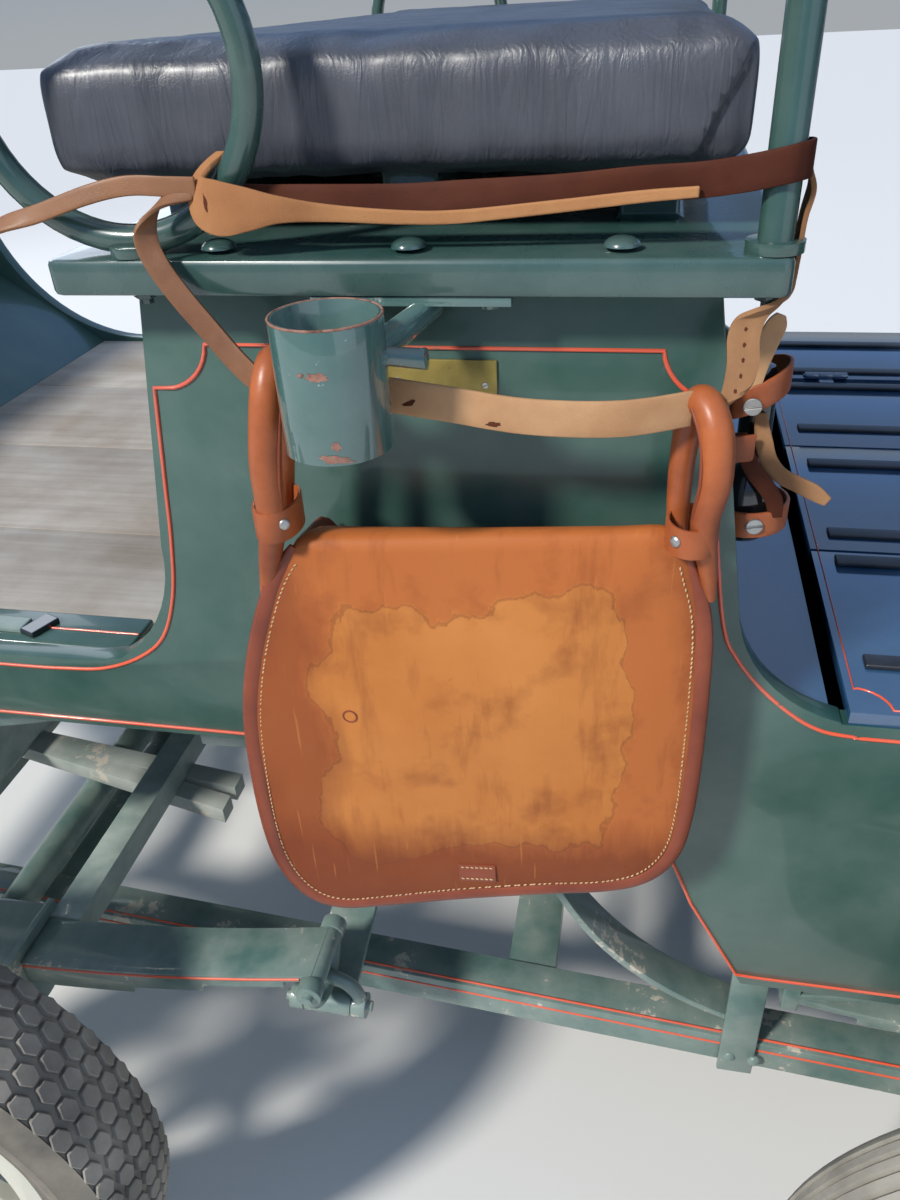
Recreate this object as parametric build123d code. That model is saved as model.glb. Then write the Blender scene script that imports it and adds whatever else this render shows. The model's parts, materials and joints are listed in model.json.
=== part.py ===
from build123d import *
import math
import os

# A four-wheeled horse-drawn wagonette with two benches on a perch undercarriage.
# Millimetres. +Z up, -X is the way it is drawn, -Y is its left-hand side.
# The origin lies on the ground, midway between the pole's tip and the rear seat's back.

# Driving dimensions: levels above the ground
PLANK_TOP = 1220
PLANK_THICK = 25
DECK_TOP = 847
FLOOR_TOP = 823
SIDE_TOP = 834
CAP_TOP = 836
SILL_BOTTOM = 753
BOOT_BOTTOM = 479
PERCH_TOP = 313
PERCH_SIZE = 50
AXLE_Z = 345

# Driving dimensions: places along the carriage
KINGPIN_X = 400
REAR_AXLE_X = 1695
SEAT_FRONT = 777
SEAT_DEPTH = 503
REAR_SEAT_STEP = 1245
DECK_FRONT = 1375
DECK_REAR = 1995
POLE_TIP_X = -2531

# Driving dimensions: widths
BODY_HALF = 520
BOARD = 22
PLANK_HALF = 560
TRACK_HALF = 746
SPRING_Y = 553.5

# Wheels
TYRE_R = 345
TYRE_HALF = 62.5
RIM_R = 236
STUB_R = 20
RUNNING_GAP = 0.05
SPOKES = 8

INNER = BODY_HALF - BOARD
PLANK_BOTTOM = PLANK_TOP - PLANK_THICK

os.makedirs("parts", exist_ok=True)


def save(name, shape):
    export_step(shape, "parts/" + name + ".step")


def block(x, y, z):
    # A box from three (low, high) pairs.
    low = Plane((x[0], y[0], z[0]))
    return Solid.make_box(x[1] - x[0], y[1] - y[0], z[1] - z[0], low)


def rod(start, end, radius):
    a = Vector(*start)
    b = Vector(*end)
    return Solid.make_cylinder(radius, (b - a).length, Plane(origin=a, z_dir=b - a))


def outline_face(steps, place):
    # steps: the first point, then (point) for a line or (middle, point) for an arc.
    edges = []
    here = place(*steps[0])
    for step in steps[1:] + [steps[0]]:
        if isinstance(step[0], tuple):
            there = place(*step[1])
            edges.append(Edge.make_three_point_arc(here, place(*step[0]), there))
        else:
            there = place(*step)
            if (there - here).length > 0.001:
                edges.append(Edge.make_line(here, there))
        here = there
    return Face(Wire(edges))


def board_xz(steps, y_low, y_high):
    # A board whose outline is drawn in side view.
    face = outline_face(steps, lambda x, z: Vector(x, y_low, z))
    return Solid.extrude(face, Vector(0, y_high - y_low, 0))


def board_yz(steps, x_low, x_high):
    # A board whose outline is drawn in end view.
    face = outline_face(steps, lambda y, z: Vector(x_low, y, z))
    return Solid.extrude(face, Vector(x_high - x_low, 0, 0))


def board_xy(steps, z_low, z_high):
    # A board whose outline is drawn in plan.
    face = outline_face(steps, lambda x, y: Vector(x, y, z_low))
    return Solid.extrude(face, Vector(0, 0, z_high - z_low))


def round_bar(points, radius):
    # A round bar along a smooth line through the points.
    line = Edge.make_spline([Vector(*p) for p in points])
    section = Face(Wire(Edge.make_circle(radius, Plane(origin=line @ 0, z_dir=line % 0))))
    return Solid.sweep(section, Wire([line]))


def flat_band(points, width, thick, y):
    # A strap seen from the side: points along its middle, width up and down, thickness along Y.
    upper = []
    lower = []
    for index, (x, z) in enumerate(points):
        before = points[max(index - 1, 0)]
        after = points[min(index + 1, len(points) - 1)]
        run = math.hypot(after[0] - before[0], after[1] - before[1])
        nx = -(after[1] - before[1]) / run * width / 2
        nz = (after[0] - before[0]) / run * width / 2
        upper.append((x + nx, z + nz))
        lower.append((x - nx, z - nz))
    return board_xz(upper + lower[::-1], y, y + thick)


def fused(shapes):
    whole = shapes[0]
    for shape in shapes[1:]:
        whole = whole + shape
    return whole


def several(shapes):
    solids = []
    for shape in shapes:
        solids.extend(shape.solids())
    return Compound(solids)


def mirrored(shape):
    return shape.mirror(Plane.XZ)


def both_sides(shape):
    return several([shape, mirrored(shape)])


def arc_mid(centre, radius, angle):
    a = math.radians(angle)
    return (centre[0] + radius * math.cos(a), centre[1] + radius * math.sin(a))


# Side panels: one board each, cut out for the two footwells, deep at the boot
FRONT_CUT_R = 150


def seat_box_front(offset):
    # The seat box's front edge runs down and sweeps forwards into the footwell.
    centre = (640 + offset, 820 + FRONT_CUT_R)
    return [
        (718.5 + offset, 842),
        (arc_mid(centre, FRONT_CUT_R, -29), (640 + offset + FRONT_CUT_R, 820 + FRONT_CUT_R)),
        (823 + offset, PLANK_BOTTOM),
    ]


def side_panel():
    # The deck's boards lie in a notch between the two seat boxes.
    notch_front = DECK_FRONT - 1
    notch_rear = DECK_REAR + 1
    rise = math.sqrt(FRONT_CUT_R ** 2 - (notch_rear - 640 - REAR_SEAT_STEP) ** 2)
    steps = [(130, SILL_BOTTOM), ((10, 775), (-80, 880)), (-95, 1010)]
    steps += [(-40, 1040), ((110, 858), (300, CAP_TOP)), (660, CAP_TOP)]
    driver_box = seat_box_front(0)
    steps += [((690, 837.5), driver_box[0])] + driver_box[1:]
    steps += [(1241, PLANK_BOTTOM), (1281, 932), ((1304, 880), (1355, 842)), (notch_front, CAP_TOP)]
    steps += [(notch_front, SIDE_TOP), (notch_rear, SIDE_TOP), (notch_rear, 820 + FRONT_CUT_R - rise)]
    rear_box = seat_box_front(REAR_SEAT_STEP)
    rear_front_centre = (640 + REAR_SEAT_STEP, 820 + FRONT_CUT_R)
    steps += [(arc_mid(rear_front_centre, FRONT_CUT_R, -20), rear_box[1][1]), rear_box[2]]
    steps += [(2486, PLANK_BOTTOM), (2486, 640), ((2463, 562), (2400, BOOT_BOTTOM))]
    steps += [(1332, BOOT_BOTTOM), (1262, 612), ((1236, 668), (1170, SILL_BOTTOM))]
    return board_xz(steps, -BODY_HALF, -INNER)


FLOOR_BOARDS = 4
FLOOR_SEAM = 2
FLOOR_THICK = 20
FLOOR_X = (150, 1236)
CAP_BOARD = 56


def front_floor():
    # The boards run fore and aft between the side panels.
    boards = []
    width = 2 * INNER / FLOOR_BOARDS
    for index in range(FLOOR_BOARDS):
        low = -INNER + index * width
        boards.append(block(FLOOR_X, (low, low + width - FLOOR_SEAM), (FLOOR_TOP - FLOOR_THICK, FLOOR_TOP)))
    return several(boards)


def front_sills():
    # Cap boards along the footwell's sides and the bolsters that carry the floor.
    pieces = []
    cap = block((300, 714), (-INNER, -INNER + CAP_BOARD), (FLOOR_TOP, CAP_TOP))
    pieces += [cap, mirrored(cap)]
    for x in (180, 400, 640, 1120):
        pieces.append(block((x - 35, x + 35), (-INNER, INNER), (SILL_BOTTOM, FLOOR_TOP - FLOOR_THICK)))
    return several(pieces)


def dash():
    # The toe board climbs from the floor and the dash stands on its front edge.
    foot = FLOOR_X[0]
    steps = [(foot, FLOOR_TOP), (foot, FLOOR_TOP - FLOOR_THICK), (-62, 945), (-92, 1230), (-76, 1232), (-46, 956)]
    return board_xz(steps, -INNER, INNER)


def box_front(offset, low):
    # The leaning front board of a seat box.
    return board_xz(
        [(812 + offset, low), (830 + offset, low), (846 + offset, PLANK_BOTTOM),
         (828 + offset, PLANK_BOTTOM)], -INNER, INNER)


BOX_REAR = 1232


def driver_box_rear():
    return block((BOX_REAR - 18, BOX_REAR), (-INNER, INNER), (FLOOR_TOP, PLANK_BOTTOM))


def plank(offset):
    # The seat board with the battens that carry the cushion.
    base = block((SEAT_FRONT + offset, SEAT_FRONT + SEAT_DEPTH + offset), (-PLANK_HALF, PLANK_HALF),
                 (PLANK_BOTTOM, PLANK_TOP))
    base = base.fillet(8, base.edges().filter_by(Axis.Z))
    battens = [block((x + offset - 22, x + offset + 22), (-440, 440), (PLANK_TOP, CUSHION_LOW))
               for x in (840, 1015, 1190)]
    return fused([base] + battens)


CUSHION_LOW = 1261
CUSHION_HIGH = 1346


def cushion(offset):
    pad = block((767 + offset, 1252 + offset), (-512, 512), (CUSHION_LOW + 0.5, CUSHION_HIGH))
    return pad.fillet(22, pad.edges())


RAIL_R = 10
RING_R = 100
RING_X = 840
SCROLL_END = math.radians(45)
POST_R = 11
POST_X = 1268
RAIL_Y = 541
BACK_TOP = 1720


def seat_rails(offset):
    # Each arm is one tube: down the post's height, forward and round a scroll on the plank.
    pieces = []
    ring_z = PLANK_TOP + RING_R + RAIL_R
    bar_z = ring_z + RING_R
    x0 = RING_X + offset
    x1 = POST_X + offset
    for side in (-1, 1):
        y = side * RAIL_Y
        bar = Edge.make_line(Vector(x1, y, bar_z), Vector(x0, y, bar_z))
        turn = Edge.make_three_point_arc(
            Vector(x0, y, bar_z), Vector(x0 - RING_R * 0.5, y, ring_z - RING_R * math.sqrt(0.75)),
            Vector(x0 + RING_R * math.cos(SCROLL_END), y, ring_z + RING_R * math.sin(SCROLL_END)))
        section = Face(Wire(Edge.make_circle(RAIL_R, Plane(origin=(x1, y, bar_z), z_dir=(-1, 0, 0)))))
        pieces.append(Solid.sweep(section, Wire([bar, turn])))
        pieces.append(rod((x1, y, PLANK_TOP), (x1, y, BACK_TOP), POST_R))
        for x in (x0, x1):
            pieces.append(rod((x, y, PLANK_TOP), (x, y, PLANK_TOP + 7), 18))
    for z in (BACK_TOP - 14, 1480):
        pieces.append(rod((x1, -RAIL_Y, z), (x1, RAIL_Y, z), RAIL_R - 1))
    return fused(pieces)


def back_pad(offset):
    pad = block((POST_X + offset - 62, POST_X + offset - 11), (-505, 505), (1500, 1700))
    return pad.fillet(18, pad.edges())


def boot_shell():
    # Front wall, bottom and tail board of the box under the deck, open at the top.
    steps = [(1174, SILL_BOTTOM), ((1238, 669), (1264, 613)), (1334, BOOT_BOTTOM)]
    steps += [(2399, BOOT_BOTTOM), ((2461, 563), (2484, 641)), (2484, PLANK_BOTTOM - 0.5)]
    steps += [(2464, PLANK_BOTTOM - 0.5), (2464, 645), ((2444, 574), (2389, BOOT_BOTTOM + 20))]
    steps += [(1346, BOOT_BOTTOM + 20), (1282, 622), ((1254, 678), (1195, SILL_BOTTOM))]
    steps += [(1195, FLOOR_TOP - FLOOR_THICK), (1174, FLOOR_TOP - FLOOR_THICK)]
    return board_xz(steps, -INNER, INNER)


LID_SEAMS = (-520, -245, 30, 284)
DECK_SEAM = 4
BATTEN_HALF = 25
HINGE_XS = (1460, 1685, 1910)
HINGE_Y = 284
HINGE_Z = DECK_TOP + 5.5
KNUCKLE_R = 5.5
HINGE_PIN_R = 2.5
HINGE_LEAF = 20
HINGE_HALF = 30
MIDDLE_KNUCKLE = 10


def hinge_part(x, low, high, leaf, bore_r):
    # One knuckle with its leaf, on the lid's side of the pin (-1) or on the fixed side (1).
    knuckle = rod((x + low, HINGE_Y, HINGE_Z), (x + high, HINGE_Y, HINGE_Z), KNUCKLE_R)
    inner, outer = sorted((HINGE_Y + leaf, HINGE_Y + leaf * HINGE_LEAF))
    plate = block((x + low, x + high), (inner, outer), (DECK_TOP, DECK_TOP + 2.5))
    return fused([knuckle, plate]) - rod((x + low - 1, HINGE_Y, HINGE_Z), (x + high + 1, HINGE_Y, HINGE_Z), bore_r)


def fixed_hinge(x):
    # The two outer knuckles and the pin between them.
    pin = rod((x - HINGE_HALF - 2, HINGE_Y, HINGE_Z), (x + HINGE_HALF + 2, HINGE_Y, HINGE_Z), HINGE_PIN_R)
    outer = [hinge_part(x, -HINGE_HALF, -MIDDLE_KNUCKLE - 0.2, 1, HINGE_PIN_R),
             hinge_part(x, MIDDLE_KNUCKLE + 0.2, HINGE_HALF, 1, HINGE_PIN_R)]
    return fused(outer + [pin])


def deck_boards():
    # Boards that stay put: behind the seat box, along the far side and before the rear box.
    narrow = block((1237, 1368), (-INNER, INNER), (805, 830))
    far = block((DECK_FRONT, DECK_REAR), (HINGE_Y + 3, BODY_HALF), (SIDE_TOP, DECK_TOP))
    rear = block((DECK_REAR + DECK_SEAM, 2085), (-INNER, INNER), (SIDE_TOP, DECK_TOP))
    return several([narrow, rear, far] + [fixed_hinge(x) for x in HINGE_XS])


def strip(y):
    return block((DECK_FRONT + 25, DECK_REAR - 25), (y - 9, y + 9), (DECK_TOP, DECK_TOP + 5))


def deck_lid():
    boards = []
    for low, high in zip(LID_SEAMS[:-1], LID_SEAMS[1:]):
        boards.append(block((DECK_FRONT + DECK_SEAM, DECK_REAR - DECK_SEAM), (low + 2, high - 3),
                            (SIDE_TOP, DECK_TOP)))
    battens = [block((x - BATTEN_HALF, x + BATTEN_HALF), (-485, 250), (SIDE_TOP - 18, SIDE_TOP))
               for x in HINGE_XS]
    knuckles = [hinge_part(x, -MIDDLE_KNUCKLE, MIDDLE_KNUCKLE, -1, HINGE_PIN_R + RUNNING_GAP) for x in HINGE_XS]
    return several([fused(boards + battens)] + knuckles)


# Undercarriage
PERCH_Y_FRONT = 390
PERCH_SPLAY = 0.0612
PERCH_ENDS = (100, 1850)


def perch_y(x):
    return PERCH_Y_FRONT + PERCH_SPLAY * (x - KINGPIN_X)


def perch_solid(low, high, half):
    # A straight splayed beam on the left side between two levels.
    x0, x1 = PERCH_ENDS
    steps = [(x0, -perch_y(x0) - half), (x1, -perch_y(x1) - half),
             (x1, -perch_y(x1) + half), (x0, -perch_y(x0) + half)]
    return board_xy(steps, low, high)


def perches():
    beam = perch_solid(PERCH_TOP - PERCH_SIZE + 6, PERCH_TOP, PERCH_SIZE / 2)
    pieces = [beam, mirrored(beam)]
    for x in (150, KINGPIN_X, 1100, 1800):
        reach = perch_y(x) - PERCH_SIZE / 2 + 3
        pieces.append(block((x - 30, x + 30), (-reach, reach), (PERCH_TOP - 44, PERCH_TOP - 5)))
    bridge = fused(pieces)
    return bridge - rod((KINGPIN_X, 0, 200), (KINGPIN_X, 0, 400), KINGPIN_R)


KINGPIN_R = 14
STAY_X = 1351
STAY_THICK = 8


def stay_left():
    # A flat iron sweeps from the perch up to the body and a strap ties the boot to the perch.
    outer = PERCH_SIZE / 2
    y = -perch_y(STAY_X)
    t = STAY_THICK
    steps = [(STAY_X, 345), ((1228, 408), (1150, 500)), ((1112, 590), (1100, 700)),
             (1100, SILL_BOTTOM), (1100 + t, SILL_BOTTOM), (1100 + t, 702)]
    steps += [((1112 + t, 594), (1157, 505)), ((1234, 415), (STAY_X, 345 + t))]
    band = board_xz(steps, y - outer - 2, y + outer - 6)
    face = y - outer - 2
    strap = block((STAY_X - 20, STAY_X + 20), (face - 7, face), (262, BOOT_BOTTOM))
    foot = block((STAY_X - 20, STAY_X + 20), (face - 7, y + outer), (BOOT_BOTTOM - 7, BOOT_BOTTOM))
    return fused([band, strap, foot])


def perch_irons():
    shoe = perch_solid(PERCH_TOP - PERCH_SIZE, PERCH_TOP - PERCH_SIZE + 6, PERCH_SIZE / 2 - 4)
    return several([shoe, mirrored(shoe), stay_left(), mirrored(stay_left())])


RING_OUT = 490
RING_IN = 440
UPPER_RING_Z = (713, 731)
LOWER_RING_Z = (698, 712.4)


def ring_solid(level):
    outer = Solid.make_cylinder(RING_OUT, level[1] - level[0], Plane((KINGPIN_X, 0, level[0])))
    inner = Solid.make_cylinder(RING_IN, level[1] - level[0], Plane((KINGPIN_X, 0, level[0])))
    return outer - inner


def upper_ring():
    # The fixed plate of the turntable, its bolsters and the kingpin.
    pieces = [ring_solid(UPPER_RING_Z)]
    for x in (KINGPIN_X - 220, KINGPIN_X, KINGPIN_X + 240):
        reach = math.sqrt(RING_OUT ** 2 - (x - KINGPIN_X) ** 2) - 8
        pieces.append(block((x - 30, x + 30), (-reach, reach), (UPPER_RING_Z[1] - 2, SILL_BOTTOM)))
    pieces.append(rod((KINGPIN_X, 0, PERCH_TOP - 50), (KINGPIN_X, 0, SILL_BOTTOM), KINGPIN_R))
    return fused(pieces)


def leaf_arc(centre, radius, half, thick, place):
    # One leaf: a strip between two concentric arcs; place turns (along, level) to a point.
    side = 1 if radius > 0 else -1
    points = []
    for r in (abs(radius), abs(radius) + thick):
        drop = math.sqrt(r * r - half * half)
        points.append((r, drop))
    (r0, d0), (r1, d1) = points
    c = centre[1]
    s = -side
    steps = [(centre[0] - half, c + s * d0), ((centre[0], c + s * r0), (centre[0] + half, c + s * d0)),
             (centre[0] + half, c + s * d1), ((centre[0], c + s * r1), (centre[0] - half, c + s * d1))]
    return outline_face(steps, place)


LEAF = 9
SIDE_SPRING_TOP = 425
SIDE_SPRING_R = 2035
SIDE_SPRING_W = 65
SIDE_LEAVES = (484, 450, 350, 260)
CROSS_SPRING_X = 485
CROSS_SPRING_LOW = 464
CROSS_SPRING_R = 2041
CROSS_SPRING_W = 55
CROSS_LEAVES = (549, 430, 340, 250)
SIDE_EYE_X = 485
SIDE_EYE_Z = 471
BARREL_Z = 396
EYE_R = 12
PIN_R = 6


def side_spring():
    leaves = []
    for index, half in enumerate(SIDE_LEAVES):
        face = leaf_arc((KINGPIN_X, SIDE_SPRING_TOP + SIDE_SPRING_R), SIDE_SPRING_R + index * LEAF, half,
                        LEAF, lambda x, z: Vector(x, -SPRING_Y - SIDE_SPRING_W / 2, z))
        leaves.append(Solid.extrude(face, Vector(0, SIDE_SPRING_W, 0)))
    for side in (-1, 1):
        x = KINGPIN_X + side * SIDE_EYE_X
        leaves.append(rod((x, -SPRING_Y - SIDE_SPRING_W / 2, SIDE_EYE_Z),
                          (x, -SPRING_Y + SIDE_SPRING_W / 2, SIDE_EYE_Z), EYE_R))
    spring = fused(leaves)
    for side in (-1, 1):
        x = KINGPIN_X + side * SIDE_EYE_X
        spring = spring - rod((x, -SPRING_Y - 50, SIDE_EYE_Z), (x, -SPRING_Y + 50, SIDE_EYE_Z), PIN_R + 0.5)
    return spring


def cross_spring(x):
    leaves = []
    for index, half in enumerate(CROSS_LEAVES):
        face = leaf_arc((0, CROSS_SPRING_LOW - CROSS_SPRING_R), -(CROSS_SPRING_R + index * LEAF), half,
                        LEAF, lambda y, z: Vector(x - CROSS_SPRING_W / 2, y, z))
        leaves.append(Solid.extrude(face, Vector(CROSS_SPRING_W, 0, 0)))
    for y in (-SPRING_Y, SPRING_Y):
        leaves.append(rod((x - CROSS_SPRING_W / 2, y, BARREL_Z), (x + CROSS_SPRING_W / 2, y, BARREL_Z), EYE_R + 2))
    spring = fused(leaves)
    for y in (-SPRING_Y, SPRING_Y):
        spring = spring - rod((x - 50, y, BARREL_Z), (x + 50, y, BARREL_Z), PIN_R + 0.5)
    return spring


LINK_R = 8
LINK_LUG_R = 14


def d_link(centre, along, half, reach):
    # A bolt through an eye with lugs at its ends, and a round bow that hangs or stands from them.
    x, y, z = centre
    sx, sy = along
    top = z + reach
    spring_z = top - math.copysign(half, reach)
    start = Vector(x - sx * half, y - sy * half, z)
    knee = Vector(x - sx * half, y - sy * half, spring_z)
    other = Vector(x + sx * half, y + sy * half, spring_z)
    path = [Edge.make_line(start, knee), Edge.make_three_point_arc(knee, Vector(x, y, top), other),
            Edge.make_line(other, Vector(other.X, other.Y, z))]
    section = Face(Wire(Edge.make_circle(LINK_R, Plane(origin=start, z_dir=(0, 0, math.copysign(1, reach))))))
    pieces = [Solid.sweep(section, Wire(path))]
    bolt = half + 14
    pieces.append(rod((x - sx * bolt, y - sy * bolt, z), (x + sx * bolt, y + sy * bolt, z), PIN_R))
    for side in (-1, 1):
        near = side * (half - LINK_R)
        far = side * (half + LINK_R)
        pieces.append(rod((x + sx * near, y + sy * near, z), (x + sx * far, y + sy * far, z), LINK_LUG_R))
    return fused(pieces)


def shackle_left(side):
    # Two interlocked D links: one hangs from the side spring's eye, the other carries the cross spring's.
    x = KINGPIN_X + side * CROSS_SPRING_X
    y = -SPRING_Y
    meeting = (SIDE_EYE_Z + BARREL_Z) / 2
    drop = SIDE_EYE_Z - meeting + LINK_R + 0.2
    upper = d_link((x, y, SIDE_EYE_Z), (0, 1), SIDE_SPRING_W / 2 + LINK_R + 1, -drop)
    lower = d_link((x, y, BARREL_Z), (1, 0), CROSS_SPRING_W / 2 + LINK_R + 1, drop)
    return several([upper, lower])


def front_shackles():
    pieces = []
    for side in (-1, 1):
        shape = shackle_left(side)
        pieces += [shape, mirrored(shape)]
    return several(pieces)


BOX_HALF_X = 120
BOX_OUT = 42
BOX_IN = 33


def spring_box():
    y = -SPRING_Y
    outer = block((KINGPIN_X - BOX_HALF_X, KINGPIN_X + BOX_HALF_X), (y - BOX_OUT, y + BOX_OUT), (360, 442))
    inner = block((KINGPIN_X - 200, KINGPIN_X + 200), (y - BOX_IN, y + BOX_IN), (388.5, 432))
    flanges = []
    for side in (-1, 1):
        low, high = sorted((KINGPIN_X + side * (BOX_HALF_X - 9), KINGPIN_X + side * BOX_HALF_X))
        steps = [(y - 48, 446), (y - 48, 372), ((y - 34, 352), (y, 345)), ((y + 34, 352), (y + 48, 372)), (y + 48, 446)]
        flanges.append(board_yz(steps, low, high))
    cap = block((KINGPIN_X - 34, KINGPIN_X + 34), (y - 36, y + 36), (442, 450))
    return fused([outer, cap] + flanges) - inner


def axle(x, boss):
    pieces = [rod((x, -680, AXLE_Z), (x, 680, AXLE_Z), 22.5)]
    for side in (-1, 1):
        pieces.append(rod((x, side * 670, AXLE_Z), (x, side * 795, AXLE_Z), STUB_R))
    if boss:
        pieces.append(rod((x, 0, AXLE_Z - 24), (x, 0, AXLE_Z + 24), 38))
    return fused(pieces)


def front_axle():
    hole = rod((KINGPIN_X, 0, 0), (KINGPIN_X, 0, 900), KINGPIN_R + 0.5)
    return fused([axle(KINGPIN_X, True), spring_box(), mirrored(spring_box())]) - hole


def gear_frame():
    # Cross bars between the spring boxes, bearers on the cross springs and the lower ring.
    pieces = []
    bar_reach = SPRING_Y - BOX_IN - 1
    bars = []
    for side in (-1, 1):
        x = KINGPIN_X + side * 139
        bars.append(block((x - 19, x + 19), (-bar_reach, bar_reach), (393, 433)))
    pieces.append(block((KINGPIN_X - 45, KINGPIN_X + 45), (-455, 455), (572, 700)))
    for y in (-110, 110):
        pieces.append(block((-120, 920), (y - 27, y + 27), (500, 574)))
        for side in (-1, 1):
            x = KINGPIN_X + side * CROSS_SPRING_X
            seat = block((x - 35, x + 35), (y - 40, y + 40), (488, 502))
            pieces.append(seat - cross_spring(x))
    for x in (KINGPIN_X - 300, KINGPIN_X + 300):
        reach = 340
        pieces.append(block((x - 30, x + 30), (-reach, reach), (572, 700)))
    pieces.append(ring_solid(LOWER_RING_Z))
    hole = rod((KINGPIN_X, 0, 0), (KINGPIN_X, 0, 900), KINGPIN_R + 0.5)
    return several([fused(pieces) - hole] + bars)


FUTCHELL_TOP = 393
FUTCHELL_LOW = 368
SPLINTER_X = -245
SPLINTER_TOP = FUTCHELL_TOP + 45
POLE_Z = 340
POLE_R = 30
POLE_HEEL_X = -5
POLE_PIN_R = 10
SWINGLETREE_Y = 330
SWINGLETREE_Z = SPLINTER_TOP + 24
SWINGLETREE_PIN_R = 8


def draught_frame():
    # Two splayed arms a side, clamped on the axle, carry the splinter bar and the pole's pin.
    arms = []
    front = SPLINTER_X - 25
    for inner_end, outer_end in ((62, 268), (96, 222)):
        steps = [(front, -inner_end - 15), (640, -outer_end - 15), (640, -outer_end + 15),
                 (front, -inner_end + 15)]
        arms.append(board_xy(steps, FUTCHELL_LOW, FUTCHELL_TOP))
    ear = block((SPLINTER_X - 22, SPLINTER_X + 22), (-58, -38), (POLE_Z - 24, FUTCHELL_TOP))
    half = fused(arms + [ear])
    bar = block((SPLINTER_X - 25, SPLINTER_X + 25), (-560, 560), (FUTCHELL_TOP, SPLINTER_TOP))
    stop = block((POLE_HEEL_X - 25, POLE_HEEL_X + 5), (-130, 130), (POLE_Z + POLE_R + 0.5, FUTCHELL_TOP))
    pin = rod((SPLINTER_X, -62, POLE_Z), (SPLINTER_X, 62, POLE_Z), POLE_PIN_R)
    pieces = [half, mirrored(half), bar, stop, pin]
    for y in (-SWINGLETREE_Y, SWINGLETREE_Y):
        pieces.append(rod((SPLINTER_X, y, SPLINTER_TOP - 10), (SPLINTER_X, y, SWINGLETREE_Z + 28), SWINGLETREE_PIN_R))
        pieces.append(rod((SPLINTER_X, y, SPLINTER_TOP - 10), (SPLINTER_X, y, SWINGLETREE_Z - 17.4), 15))
        pieces.append(rod((SPLINTER_X, y, SWINGLETREE_Z + 22), (SPLINTER_X, y, SWINGLETREE_Z + 28), 15))
    return fused(pieces)


def pole():
    # A straight ash pole, thinner towards its tip, with a ferrule and a bore for its pin.
    length = POLE_HEEL_X - POLE_TIP_X
    shaft = Solid.make_cone(POLE_R, 22, length, Plane(origin=(POLE_HEEL_X, 0, POLE_Z), z_dir=(-1, 0, 0)))
    ferrule = rod((POLE_TIP_X + 90, 0, POLE_Z), (POLE_TIP_X, 0, POLE_Z), 27)
    bore = rod((SPLINTER_X, -50, POLE_Z), (SPLINTER_X, 50, POLE_Z), POLE_PIN_R + RUNNING_GAP)
    return fused([shaft, ferrule]) - bore


def swingletree_left():
    # A turned bar on an upright pin; the traces hook on its ends.
    y = -SWINGLETREE_Y
    half = Solid.make_cone(17, 13, 190, Plane(origin=(SPLINTER_X, y, SWINGLETREE_Z), z_dir=(0, 1, 0)))
    other = Solid.make_cone(17, 13, 190, Plane(origin=(SPLINTER_X, y, SWINGLETREE_Z), z_dir=(0, -1, 0)))
    ends = rod((SPLINTER_X, y - 230, SWINGLETREE_Z), (SPLINTER_X, y + 230, SWINGLETREE_Z), 12)
    bore = rod((SPLINTER_X, y, 300), (SPLINTER_X, y, 600), SWINGLETREE_PIN_R + RUNNING_GAP)
    return fused([half, other, ends]) - bore


def tyre(x, side):
    profile = [(RIM_R, -40), (250, -40), ((292, -TYRE_HALF), (333, -50)), ((TYRE_R, 0), (333, 50)),
               ((292, TYRE_HALF), (250, 40)), (RIM_R, 40)]
    centre = Vector(x, side * TRACK_HALF, AXLE_Z)
    face = outline_face(profile, lambda r, y: centre + Vector(r, y, 0))
    return Solid.revolve(face, 360, Axis((x, side * TRACK_HALF, AXLE_Z), (0, 1, 0)))


def wheel(x, side):
    # A steel rim with flat tapered spokes on a closed hub.
    centre = Vector(x, side * TRACK_HALF, AXLE_Z)
    axis = Axis((x, side * TRACK_HALF, AXLE_Z), (0, 1, 0))
    profile = [(222, -47), (250, -47), (250, -40.5), (RIM_R, -40.5), (RIM_R, 40.5), (250, 40.5),
               (250, 47), (222, 47)]
    rim = Solid.revolve(outline_face(profile, lambda r, y: centre + Vector(r, y, 0)), 360, axis)
    pieces = [rim]
    y_in = side * (TRACK_HALF - 62)
    y_out = side * (TRACK_HALF + 72)
    hub = rod((x, y_in, AXLE_Z), (x, y_out, AXLE_Z), 44)
    pieces.append(hub)
    for index in range(SPOKES):
        angle = 360 * index / SPOKES
        steps = [(30, -26), (226, -17), (226, 17), (30, 26)]
        y_low = side * TRACK_HALF - 8
        spoke = board_xz([(x + a, AXLE_Z + b) for a, b in steps], y_low, y_low + 16)
        pieces.append(spoke.rotate(axis, angle))
    bore = rod((x, y_in - side * 5, AXLE_Z), (x, side * 797, AXLE_Z), STUB_R + RUNNING_GAP)
    return fused(pieces) - bore


def rear_axle():
    base = axle(REAR_AXLE_X, False)
    pads = []
    for side in (-1, 1):
        y = side * perch_y(REAR_AXLE_X)
        pads.append(block((REAR_AXLE_X - 40, REAR_AXLE_X + 40), (y - 25, y + 25), (PERCH_TOP, 352)))
        pads.append(block((REAR_AXLE_X - 45, REAR_AXLE_X + 45), (y - 25, y + 25), (352, 372)))
    return fused([base] + pads)


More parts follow.
